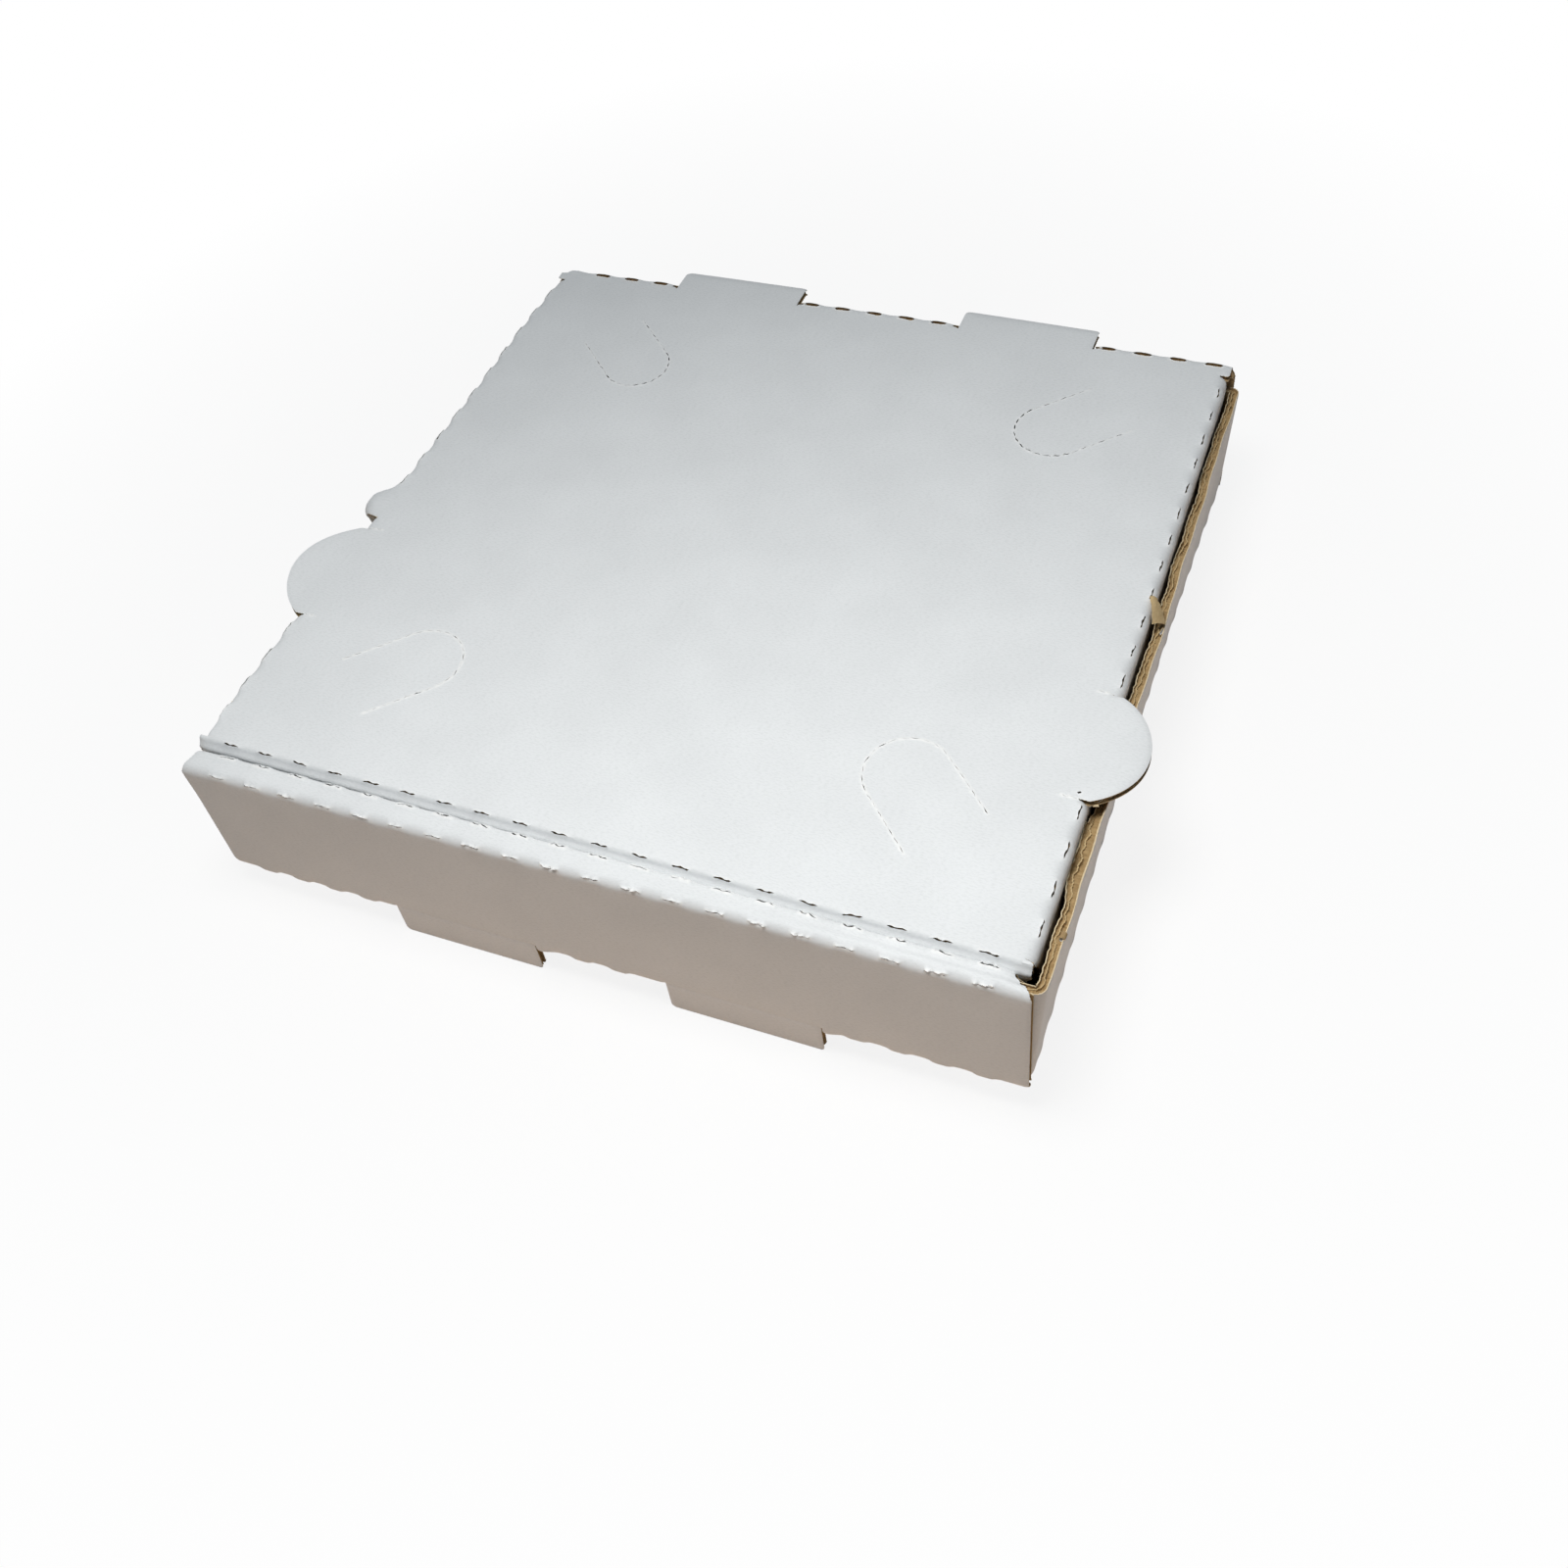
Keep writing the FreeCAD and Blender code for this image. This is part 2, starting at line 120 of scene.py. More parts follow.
def rounded(corners):
    """Closed polyline through corners (u, v) or (u, v, radius)."""
    points = []
    count = len(corners)
    for i, corner in enumerate(corners):
        p = np.array(corner[:2], float)
        r = corner[2] if len(corner) > 2 else 0.0
        if not r:
            points.append(p)
            continue
        a = np.array(corners[i - 1][:2], float) - p
        b = np.array(corners[(i + 1) % count][:2], float) - p
        a /= np.linalg.norm(a)
        b /= np.linalg.norm(b)
        half = math.acos(np.clip(a @ b, -1, 1)) / 2
        centre = p + (a + b) / np.linalg.norm(a + b) * r / math.sin(half)
        start, end = p + a * r / math.tan(half) - centre, p + b * r / math.tan(half) - centre
        a0 = math.atan2(start[1], start[0])
        turn = (math.atan2(end[1], end[0]) - a0 + math.pi) % (2 * math.pi) - math.pi
        n = max(2, int(abs(turn) * r / 0.7) + 1)
        for k in range(n + 1):
            angle = a0 + turn * k / n
            points.append(centre + r * np.array([math.cos(angle), math.sin(angle)]))
    return np.array(points)


def arc_points(centre, radius, a0, a1):
    n = max(2, int(abs(a1 - a0) * radius / 0.9))
    angles = np.linspace(a0, a1, n + 1)
    return np.c_[centre[0] + radius * np.cos(angles), centre[1] + radius * np.sin(angles)]


def serrate(loop, depth=0.11, calm=None):
    """Resamples a closed line as the toothed knife cuts it; a stretch that calm names stays straight."""
    out = []
    for p, q in zip(loop, np.roll(loop, -1, axis=0)):
        length = np.linalg.norm(q - p)
        n = max(1, int(round(length / (TOOTH / 2))))
        along = (q - p) / max(length, 1e-9)
        side = np.array([along[1], -along[0]])
        quiet = calm is not None and calm((p + q) / 2)
        for k in range(n):
            wobble = 0 if k == 0 or quiet else depth * (1 if k % 2 else -1) * (0.55 + 0.45 * rng.random())
            out.append(p + (q - p) * k / n + side * wobble)
    return np.array(out)


class Slit:
    """A short knife cut with torn lips that stand up a little from the paper."""

    def __init__(self, middle, along, length=SLIT, width=0.35, rise=0.4, rag=0.12, lean=1.0, torn=0.5):
        self.middle, self.along = np.array(middle, float), np.array(along, float)
        self.across = np.array([-self.along[1], self.along[0]])
        self.length, self.width = length * rng.uniform(0.92, 1.06), width
        # torn sets how strongly the lips are painted white: a painted highlight where they stand up.
        self.rises, self.torn = rise * rng.uniform(0.35, 1.1, 2) * (lean, 2 - lean), torn
        self.phase = rng.uniform(0, 6.28)
        n = 3 if length < 3 else 8
        s = np.linspace(-0.5, 0.5, n + 1)
        ripple = 0.38 * min(1, length / 4, 0.5 / width)
        gape = 1 - ripple * (1 - np.sin(s * 15 + self.phase))
        half = width / 2 * gape * np.sqrt(np.clip(1 - (2 * s) ** 6, 0, 1))
        drift = 0.22 * rng.standard_normal() * s + 0.10 * np.sin(s * 9 + self.phase) * min(1, length / 4)
        between = list(zip(s, half, drift))[1:-1]
        low = [self.place(a, d - h - rag * rng.random()) for a, h, d in between]
        high = [self.place(a, d + h + rag * rng.random()) for a, h, d in between[::-1]]
        self.loop = np.array([self.place(s[0], drift[0]), *low, self.place(s[-1], drift[-1]), *high])

    def place(self, s, c):
        return self.middle + self.along * self.length * s + self.across * c

    def fine_points(self):
        """Extra points round the cut, for its lips."""
        n = max(3, int(self.length / 0.7))
        offsets = [self.width / 2 + o for o in (0.4, 0.85, 1.5)]
        spots = np.linspace(-0.62, 0.62, n)
        return [self.place(s, side * o) for s in spots for o in offsets for side in (-1, 1)]

    def lips(self, points):
        """How far the lips lift each point, and how strongly its paper is painted white there, a painted
        highlight on the raised lips.
        """
        d = points - self.middle
        a, c = d @ self.along, d @ self.across
        lift, torn = np.zeros(len(points)), np.zeros(len(points))
        near = (np.abs(a) < self.length / 2 + 0.9) & (np.abs(c) < self.width / 2 + 2.0)
        a, c = a[near], c[near]
        ragged = 0.52 + 0.28 * np.sin(a * 2.7 + self.phase) + 0.22 * np.sin(a * 7.1 + 2 * self.phase)
        ends = smooth((self.length / 2 + 0.8 - np.abs(a)) / 1.1)
        side = np.where(c > 0, self.rises[0], self.rises[1])
        gap = np.maximum(0, np.abs(c) - self.width / 2)
        lift[near] = side * ragged * ends * np.exp(-gap / 0.5)
        # The torn value paints the lip paper white, a painted highlight that follows the lift.
        torn[near] = self.torn * (0.4 + ragged) * ends * np.clip(1 - gap / 0.8, 0, 1)
        return lift, torn


def slit_places(half_length, clear=()):
    """Middles of the slits along a crease centred on 0; clear holds stretches with none."""
    count = int((2 * half_length - 12 - SLIT) / PITCH) + 1
    places = (np.arange(count) - (count - 1) / 2) * PITCH
    return [p for p in places if not any(a - SLIT / 2 < p < b + SLIT / 2 for a, b in clear)]


def inside(points, loops):
    """Even-odd test of points against closed loops."""
    result = np.zeros(len(points), bool)
    x, y = points[:, 0], points[:, 1]
    order = np.argsort(y)
    ys = y[order]
    for loop in loops:
        for (x0, y0), (x1, y1) in zip(loop, np.roll(loop, -1, axis=0)):
            if y0 == y1:
                continue
            low, high = (y0, y1) if y0 < y1 else (y1, y0)
            hit = order[np.searchsorted(ys, low, "right"):np.searchsorted(ys, high, "right")]
            cross = x0 + (y[hit] - y0) * (x1 - x0) / (y1 - y0) > x[hit]
            result[hit[cross]] ^= True
    return result


def grid(us, vs):
    a, b = np.meshgrid(us, vs, indexing="ij")
    return np.c_[a.ravel(), b.ravel()]


def tree_of(points):
    tree = kdtree.KDTree(len(points))
    for i, p in enumerate(points):
        tree.insert((p[0], p[1], 0), i)
    tree.balance()
    return tree


def distances(points, tree):
    return np.array([tree.find((p[0], p[1], 0))[2] for p in points])


def beside(loop):
    """Points at small distances on both sides of a cut line."""
    ahead = np.roll(loop, -2, axis=0) - np.roll(loop, 2, axis=0)
    ahead /= np.maximum(np.linalg.norm(ahead, axis=1), 1e-9)[:, None]
    side = np.c_[-ahead[:, 1], ahead[:, 0]]
    return np.vstack([loop[::2] + side[::2] * o * s for o in (0.6, 1.4) for s in (-1, 1)])


def flat_mesh(loops, inner):
    """Triangles of the flat sheet bounded by loops, with the inner points that keep clear of the lines."""
    edge_points = np.vstack(loops)
    inner = inner[inside(inner, loops)]
    inner = inner[distances(inner, tree_of(edge_points)) > 0.3]
    verts = [Vector(p) for p in edge_points] + [Vector(p) for p in inner]
    edges, start = [], 0
    for loop in loops:
        n = len(loop)
        edges += [(start + i, start + (i + 1) % n) for i in range(n)]
        start += n
    out_verts, _, out_faces, *_ = geometry.delaunay_2d_cdt(verts, edges, [], 0, 1e-5)
    points = np.array([(v.x, v.y) for v in out_verts])
    faces = np.array([f for f in out_faces])
    middle = points[faces].mean(axis=1)
    faces = faces[inside(middle, loops)]
    a, b, c = points[faces[:, 0]], points[faces[:, 1]], points[faces[:, 2]]
    area = (b[:, 0] - a[:, 0]) * (c[:, 1] - a[:, 1]) - (b[:, 1] - a[:, 1]) * (c[:, 0] - a[:, 0])
    faces[area < 0] = faces[area < 0][:, ::-1]
    faces = faces[np.abs(area) > 1e-7]
    used = np.unique(faces)
    renumber = np.full(len(points), -1)
    renumber[used] = np.arange(len(used))
    return points[used], renumber[faces]


# Folding

class Path:
    """The outer face of a folded strip in a plane: straight runs and arcs. The outside is on its left."""

    def __init__(self, corners, radius=FOLD):
        corners = [np.array(c, float) for c in corners]
        self.pieces, s = [], 0.0
        here = corners[0]
        for i in range(1, len(corners)):
            d = corners[i] - corners[i - 1]
            d /= np.linalg.norm(d)
            n = np.array([-d[1], d[0]])
            end, turn = corners[i], 0.0
            if i < len(corners) - 1:
                ahead = corners[i + 1] - corners[i]
                ahead /= np.linalg.norm(ahead)
                turn = math.atan2(d[0] * ahead[1] - d[1] * ahead[0], d @ ahead)
                end = corners[i] - d * radius * math.tan(abs(turn) / 2)
            length = (end - here) @ d
            self.pieces.append((s, s + length, here, d, n, 0.0, 0.0))
            s += length
            if turn:
                centre = end - n * radius
                self.pieces.append((s, s + radius * abs(turn), centre, d, n, radius, turn))
                s += radius * abs(turn)
                ahead_n = np.array([-ahead[1], ahead[0]])
                here = centre + ahead_n * radius
        self.length = s

    def folds(self):
        """(start, end) of each arc."""
        return [(p[0], p[1]) for p in self.pieces if p[5]]

    def at(self, s):
        """Points and outward normals at lengths s."""
        s = np.asarray(s, float)
        point, normal = np.zeros((len(s), 2)), np.zeros((len(s), 2))
        for k, (s0, s1, origin, d, n, radius, turn) in enumerate(self.pieces):
            mask = (s >= s0) if k else np.ones(len(s), bool)
            if not mask.any():
                continue
            t = s[mask] - s0
            if radius:
                angle = np.clip(t / (s1 - s0), 0, 1) * turn
                cos, sin = np.cos(angle), np.sin(angle)
                turned = np.c_[n[0] * cos - n[1] * sin, n[0] * sin + n[1] * cos]
                point[mask], normal[mask] = origin + turned * radius, turned
            else:
                point[mask], normal[mask] = origin + t[:, None] * d, n
        return point, normal


WHITE, KRAFT, LIP, HOLLOW, MEDIUM = range(5)
EDGE_MATERIALS = [LIP, KRAFT, HOLLOW, MEDIUM, MEDIUM, MEDIUM, HOLLOW, KRAFT, LIP]
SLIT_MATERIALS = [WHITE, HOLLOW, HOLLOW, HOLLOW, HOLLOW, HOLLOW, HOLLOW, KRAFT, LIP]


def cut_levels(points, slit, quiet, flutes, gap):
    """Depth and setback of each level of the cut edge: liner, hollow, the fluted medium, hollow, liner.

    Behind the paper of a slit the board is hollow to the depth gap."""
    q, r = points[:, flutes], points[:, 1 - flutes]
    one = np.ones(len(points))
    middle = BOARD / 2 + 0.75 * np.sin(q * 2 * math.pi / FLUTE_PITCH)
    middle += 0.20 * np.sin(r * 0.61 + 0.7 + 0.3 * q)
    middle = np.clip(middle + 0.16 * np.sin(r * 1.47), LINER + 0.4, BOARD - LINER - 0.4)
    hollow = 1.2 + 0.35 * np.sin(r * 0.33 + q * 0.2) + 0.25 * rng.random(len(points))
    ridge = 0.28 + 0.2 * np.sin(r * 0.83 + 2.0) + 0.14 * rng.random(len(points))
    depth = np.array([0 * one, LINER * one, (LINER + 0.05) * one, middle - 0.2, middle - 0.13, middle + 0.13,
                      middle + 0.2, (BOARD - LINER - 0.05) * one, (BOARD - LINER) * one, BOARD * one])
    back = np.array([0 * one, 0.03 * one, hollow, hollow * 0.9, ridge, ridge, hollow * 0.9, hollow,
                     0.03 * one, 0 * one])
    depth[:, slit] = np.linspace(0, BOARD, 10)[:, None]
    back[:, quiet] = 0
    back[:, slit] = gap * np.array([0, 0.2, 1, 1, 1, 1, 1, 1, 0.2, 0])[:, None]
    return depth, back


def add_object(name, data):
    ob = bpy.data.objects.new(name, data)
    bpy.context.scene.collection.objects.link(ob)
    return ob


def make_object(name, verts, faces, face_material, flat, mirror=False, torn=None):
    mesh = bpy.data.meshes.new(name)
    verts = np.array(verts, float)
    faces = [tuple(int(i) for i in f) for f in faces]
    if mirror:
        verts[:, 0] *= -1
        faces = [f[::-1] for f in faces]
    mesh.from_pydata([tuple(v * MM) for v in verts], [], faces)
    for material in materials:
        mesh.materials.append(material)
    mesh.polygons.foreach_set("material_index", np.array(face_material, np.int32))
    mesh.shade_smooth()
    mesh.set_sharp_from_angle(angle=0.75)
    layer = mesh.attributes.new("flat", "FLOAT_VECTOR", "POINT")
    layer.data.foreach_set("vector", np.array(flat, np.float32).ravel())
    # The torn attribute holds the painted highlight on the lips of the cuts, how white their paper is
    # painted.
    lip_highlight = np.zeros(len(verts), np.float32)
    if torn is not None:
        lip_highlight[:len(torn)] = torn
    mesh.attributes.new("torn", "FLOAT", "POINT").data.foreach_set("value", lip_highlight)
    return add_object(name, mesh)


def board(name, loops, slits, inner, fold, flutes=0, mirror=False, crush=0.35, hollow=0.55, calm=None):
    """A folded sheet of board from its flat drawing: white liner, kraft liner and cut edges.

    fold(points, depth) places flat points at a depth below the white face. The knife crushes the board by
    crush along its cuts, other than where calm(point) holds."""
    slit_loops = [slit.loop for slit in slits]
    extra = [beside(loop) for loop in loops] + [np.array(slit.fine_points()) for slit in slits]
    points, faces = flat_mesh(loops + slit_loops, np.vstack([inner] + extra))
    count = len(points)

    edges = {}
    for f in faces:
        for a, b in ((f[0], f[1]), (f[1], f[2]), (f[2], f[0])):
            if not edges.pop((b, a), False):
                edges[a, b] = True
    rim = np.array(list(edges), int)
    out = np.zeros((count, 2))
    run = points[rim[:, 1]] - points[rim[:, 0]]
    run /= np.maximum(np.linalg.norm(run, axis=1), 1e-9)[:, None]
    side = np.c_[run[:, 1], -run[:, 0]]
    np.add.at(out, rim[:, 0], side)
    np.add.at(out, rim[:, 1], side)
    on_rim = np.unique(rim)
    edge = points[on_rim]
    out = out[on_rim] / np.maximum(np.linalg.norm(out[on_rim], axis=1), 1e-9)[:, None]
    slot = np.full(count, -1)
    slot[on_rim] = np.arange(len(on_rim))
    slit = distances(edge, tree_of(np.vstack(slit_loops))) < 0.01 if slits else np.zeros(len(edge), bool)
    quiet = np.array([calm is not None and bool(calm(p)) for p in edge])

    cuts = edge[~slit & ~quiet]
    dip = crush * np.clip(1 - distances(points, tree_of(cuts)) / 1.5, 0, 1) ** 1.6
    lift, torn = np.zeros(count), np.zeros(count)
    # torn gathers the painted highlight of the lips, how white each point is painted.
    for s in slits:
        lift, torn = np.maximum((lift, torn), s.lips(points))
    verts = [fold(points, dip - lift), fold(points, BOARD - 0.4 * dip)]
    flat = [np.c_[points, np.zeros(count)], np.c_[points, np.ones(count)]]
    depths, backs = cut_levels(edge, slit, quiet, flutes, hollow)
    squash = 1 - 1.4 * dip[on_rim] / BOARD
    for depth, back in zip(depths, backs):
        rise = lift[on_rim] * np.clip(1 - depth / 0.8, 0, 1)
        verts.append(fold(edge - out * back[:, None], dip[on_rim] + depth * squash - rise))
        flat.append(np.c_[edge, depth])
    if flutes:
        flat = [f[:, (1, 0, 2)] for f in flat]

    all_faces = [tuple(f) for f in faces] + [tuple(f[::-1] + count) for f in faces]
    kinds = [WHITE] * len(faces) + [KRAFT] * len(faces)
    for a, b in rim:
        ia, ib = slot[a] + 2 * count, slot[b] + 2 * count
        kind = SLIT_MATERIALS if slit[slot[a]] else EDGE_MATERIALS
        for k in range(len(depths) - 1):
            low, high = k * len(on_rim), (k + 1) * len(on_rim)
            all_faces.append((low + ib, low + ia, high + ia, high + ib))
            kinds.append(kind[k])
    return make_object(name, np.vstack(verts), all_faces, kinds, np.vstack(flat), mirror, torn)


# Materials

class Graph:
    """The nodes of one material or of the world."""

    def __init__(self, owner):
        owner.use_nodes = True
        self.nodes, self.links = owner.node_tree.nodes, owner.node_tree.links
        self.nodes.clear()

    def add(self, kind, *inputs, **settings):
        """A new node, with (input, value or output of another node) pairs and settings of its own."""
        node = self.nodes.new(kind)
        for name, value in settings.items():
            setattr(node, name, value)
        for name, value in inputs:
            if isinstance(value, bpy.types.NodeSocket):
                self.links.new(value, node.inputs[name])
            else:
                node.inputs[name].default_value = value
        return node

    def noise(self, where, scale, detail=3.0, stretch=(1, 1, 1), rough=0.5):
        mapping = self.add("ShaderNodeMapping", ("Vector", where), ("Scale", stretch))
        return self.add("ShaderNodeTexNoise", ("Vector", mapping.outputs[0]), ("Scale", scale),
                        ("Detail", detail), ("Roughness", rough)).outputs["Fac"]

    def ramp(self, value, *stops):
        node = self.add("ShaderNodeValToRGB", (0, value))
        for element, (place, colour) in zip(node.color_ramp.elements, stops):
            element.position, element.color = place, colour
        return node.outputs[0]

    def mix(self, factor, a, b, mode="MIX"):
        node = self.add("ShaderNodeMix", (0, factor), (6, a), (7, b), data_type="RGBA", blend_type=mode)
        return node.outputs[2]

    def math(self, kind, a, b):
        return self.add("ShaderNodeMath", (0, a), (1, b), operation=kind).outputs[0]

    def paper(self, colour, rough, gloss, height, strength, distance):
        """The material's shader, with bumps from height."""
        bump = self.add("ShaderNodeBump", ("Height", height), ("Strength", strength), ("Distance", distance))
        shader = self.add("ShaderNodeBsdfPrincipled", ("Base Color", colour), ("Roughness", rough),
                          ("Specular IOR Level", gloss), ("Normal", bump.outputs[0]))
        self.add("ShaderNodeOutputMaterial", (0, shader.outputs[0]))

    def by_ray(self, lighting, seen):
        """One shader for the rays that light the box, and another for what the camera and reflections see."""
        ray = self.add("ShaderNodeLightPath").outputs
        direct = self.math("MAXIMUM", ray["Is Camera Ray"], ray["Is Glossy Ray"])
        mixed = self.add("ShaderNodeMixShader", (0, direct), (1, lighting.outputs[0]), (2, seen.outputs[0]))
        return mixed.outputs[0]


PLAIN_WHITE = (1, 1, 1, 1)
WAVE_LENGTH = 0.314                # Blender's wave texture repeats at this length where its scale is 1


def white_liner():
    """Bleached liner: matt white, a little mottled, with the flutes showing faintly through, and a painted
    highlight on the torn lips of its cuts.
    """
    material = bpy.data.materials.new("white_liner")
    graph = Graph(material)
    where = graph.add("ShaderNodeAttribute", attribute_name="flat").outputs["Vector"]
    cloud = graph.noise(where, 0.035)
    fibre = graph.noise(where, 1.6, 4, (0.5, 1.4, 1))
    base = graph.ramp(cloud, (0.3, srgb(232, 234, 235)), (0.7, srgb(238, 240, 241)))
    fleck = graph.ramp(fibre, (0.30, srgb(226, 227, 226)), (0.55, PLAIN_WHITE))
    paper = graph.mix(0.35, base, fleck, "MULTIPLY")
    # The torn lips of the cuts are painted near white: a painted highlight where they stand up.
    torn = graph.add("ShaderNodeAttribute", attribute_name="torn").outputs["Fac"]
    paper_with_lip_highlight = graph.mix(torn, paper, srgb(254, 254, 252))
    wave = graph.add("ShaderNodeTexWave", ("Vector", where), ("Scale", WAVE_LENGTH / 6.5),
                     ("Distortion", 0.6), wave_type="BANDS", bands_direction="X")
    height = graph.math("ADD", graph.math("MULTIPLY", wave.outputs["Fac"], 0.35),
                        graph.math("MULTIPLY", fibre, 0.25))
    graph.paper(paper_with_lip_highlight, 0.62, 0.35, height, 0.25, 0.0001)
    return material


def kraft(name, dark, light, scale):
    """Brown unbleached paper, fibrous and cloudy."""
    material = bpy.data.materials.new(name)
    graph = Graph(material)
    where = graph.add("ShaderNodeAttribute", attribute_name="flat").outputs["Vector"]
    fibre = graph.noise(where, scale, 5, (0.35, 1.6, 1), 0.65)
    cloud = graph.noise(where, 0.05)
    body = graph.ramp(fibre, (0.32, dark), (0.68, light))
    tint = graph.ramp(cloud, (0.3, (0.86, 0.86, 0.86, 1)), (0.7, PLAIN_WHITE))
    graph.paper(graph.mix(1.0, body, tint, "MULTIPLY"), 0.85, 0.2, fibre, 0.3, 0.00015)
    return material


materials = [
    white_liner(),
    kraft("kraft_liner", srgb(160, 132, 94), srgb(192, 165, 122), 1.1),
    kraft("liner_edge", srgb(214, 192, 152), srgb(238, 222, 190), 1.5),
    kraft("flute_hollow", srgb(150, 123, 84), srgb(188, 161, 117), 0.8),
    kraft("medium_edge", srgb(186, 160, 117), srgb(212, 188, 144), 1.3),
]


# Tray: back wall, floor, front wall, top strip and inner wall

spine = Path([(REAR, BACK_TOP), (REAR, 0), (FRONT, 0), (FRONT, FRONT_TOP), (STRIP_BACK, FRONT_TOP),
              (STRIP_BACK, FOOT)])
REAR_FOLD, FRONT_FOLD, TOP_FOLD, STRIP_FOLD = spine.folds()
FLOOR_HALF = HALF_W - FOLD
TAB_TIP = FRONT_FOLD[1] - (FOLD - LOCK_TIP)


def lock_zone(u, v):
    """Where the drop tabs are: cut from the floor, level with the front wall."""
    return (np.abs(np.abs(u) - LOCK_AT) < LOCK_WIDE / 2 + 0.15) & (v > TAB_TIP - 0.2) & (v < FRONT_FOLD[1])


def crease_bulge(u, v, fold, places, out=0.35, dip=0.25):
    """The paper stands out at the slits of a perforated crease and is drawn in between them."""
    middle, half = (fold[0] + fold[1]) / 2, (fold[1] - fold[0]) / 2
    across = np.clip(1 - np.abs(v - middle) / (half + 2.0), 0, 1)
    near = np.full(len(u), 99.0)
    for p in places:
        near = np.minimum(near, np.abs(u - p))
    along = smooth((SLIT / 2 + 1.8 - near) / 3.0)
    return smooth(across) * (out * along - dip * (1 - along))


front_clear = [(s * LOCK_AT - LOCK_WIDE / 2 - 3, s * LOCK_AT + LOCK_WIDE / 2 + 3) for s in (-1, 1)]
TOP_SLITS = slit_places(HALF_W)
BOTTOM_SLITS = slit_places(HALF_W, front_clear)
TOP_LINE = (TOP_FOLD[0] + TOP_FOLD[1]) / 2 - 0.5
BOTTOM_LINE = (FRONT_FOLD[0] + FRONT_FOLD[1]) / 2
REAR_LINE = (REAR_FOLD[0] + REAR_FOLD[1]) / 2
STRIP_LINE = STRIP_FOLD[0] + 1.5


def floor_sag(u, v):
    """Beside the right end of each drop tab the floor's fold hangs a little below the wall."""
    sag = np.zeros(len(u))
    for s in (-1, 1):
        past = u - (s * LOCK_AT + LOCK_WIDE / 2)
        beyond = np.where((past > 0) & (past < 10), smooth((10 - past) / 10), 0)
        sag += 2.4 * beyond * np.exp(-((v - FRONT_FOLD[0]) / 3.6) ** 2)
    return sag


def spine_fold(p, depth):
    u, v = p[:, 0], p[:, 1]
    point, normal = spine.at(v)
    drop = lock_zone(u, v)
    point[drop] = np.c_[np.full(drop.sum(), FRONT), FOLD - (FRONT_FOLD[1] - v[drop])]
    normal[drop] = (-1, 0)
    lift = crease_bulge(u, v, TOP_FOLD, TOP_SLITS, 0.05, 0.3)
    lift += np.where(drop, 0, crease_bulge(u, v, FRONT_FOLD, BOTTOM_SLITS, 0.0, 0.7) + floor_sag(u, v))
    lift += crease_bulge(u, v, REAR_FOLD, TOP_SLITS, 0.0, 0.6)
    lift += crease_bulge(u, v, STRIP_FOLD, TOP_SLITS, 0.15, 0.15)
    lift += 0.75 * smooth(1.15 - np.abs(v - sum(STRIP_FOLD) / 2) / (ARC / 2))
    at = np.c_[u, point + normal * (lift - depth)[:, None]]
    # The lid's front fold has pressed the right end of the strip down and forward.
    pressed = smooth((u - 10) / 115) * smooth((v - TOP_FOLD[1] + 0.5) / 3.5)
    pressed *= smooth((STRIP_FOLD[1] + 9 - v) / 9)
    at[:, 1] -= 0.9 * pressed
    at[:, 2] -= 0.9 * pressed
    # The strip's right end is torn and bent down.
    bent = smooth((u - 124.5) / 5) * smooth((v - TOP_FOLD[0] - 2.5) / 4)
    at[:, 2] -= 0.8 * (bent * smooth((STRIP_FOLD[1] + 2 - v) / 3))
    return at


def tab(a, b, base, tip, radius):
    """The part of an outline that runs round a tab or a bay from a to b."""
    return [(a, base), (a, tip, radius), (b, tip, radius), (b, base)]


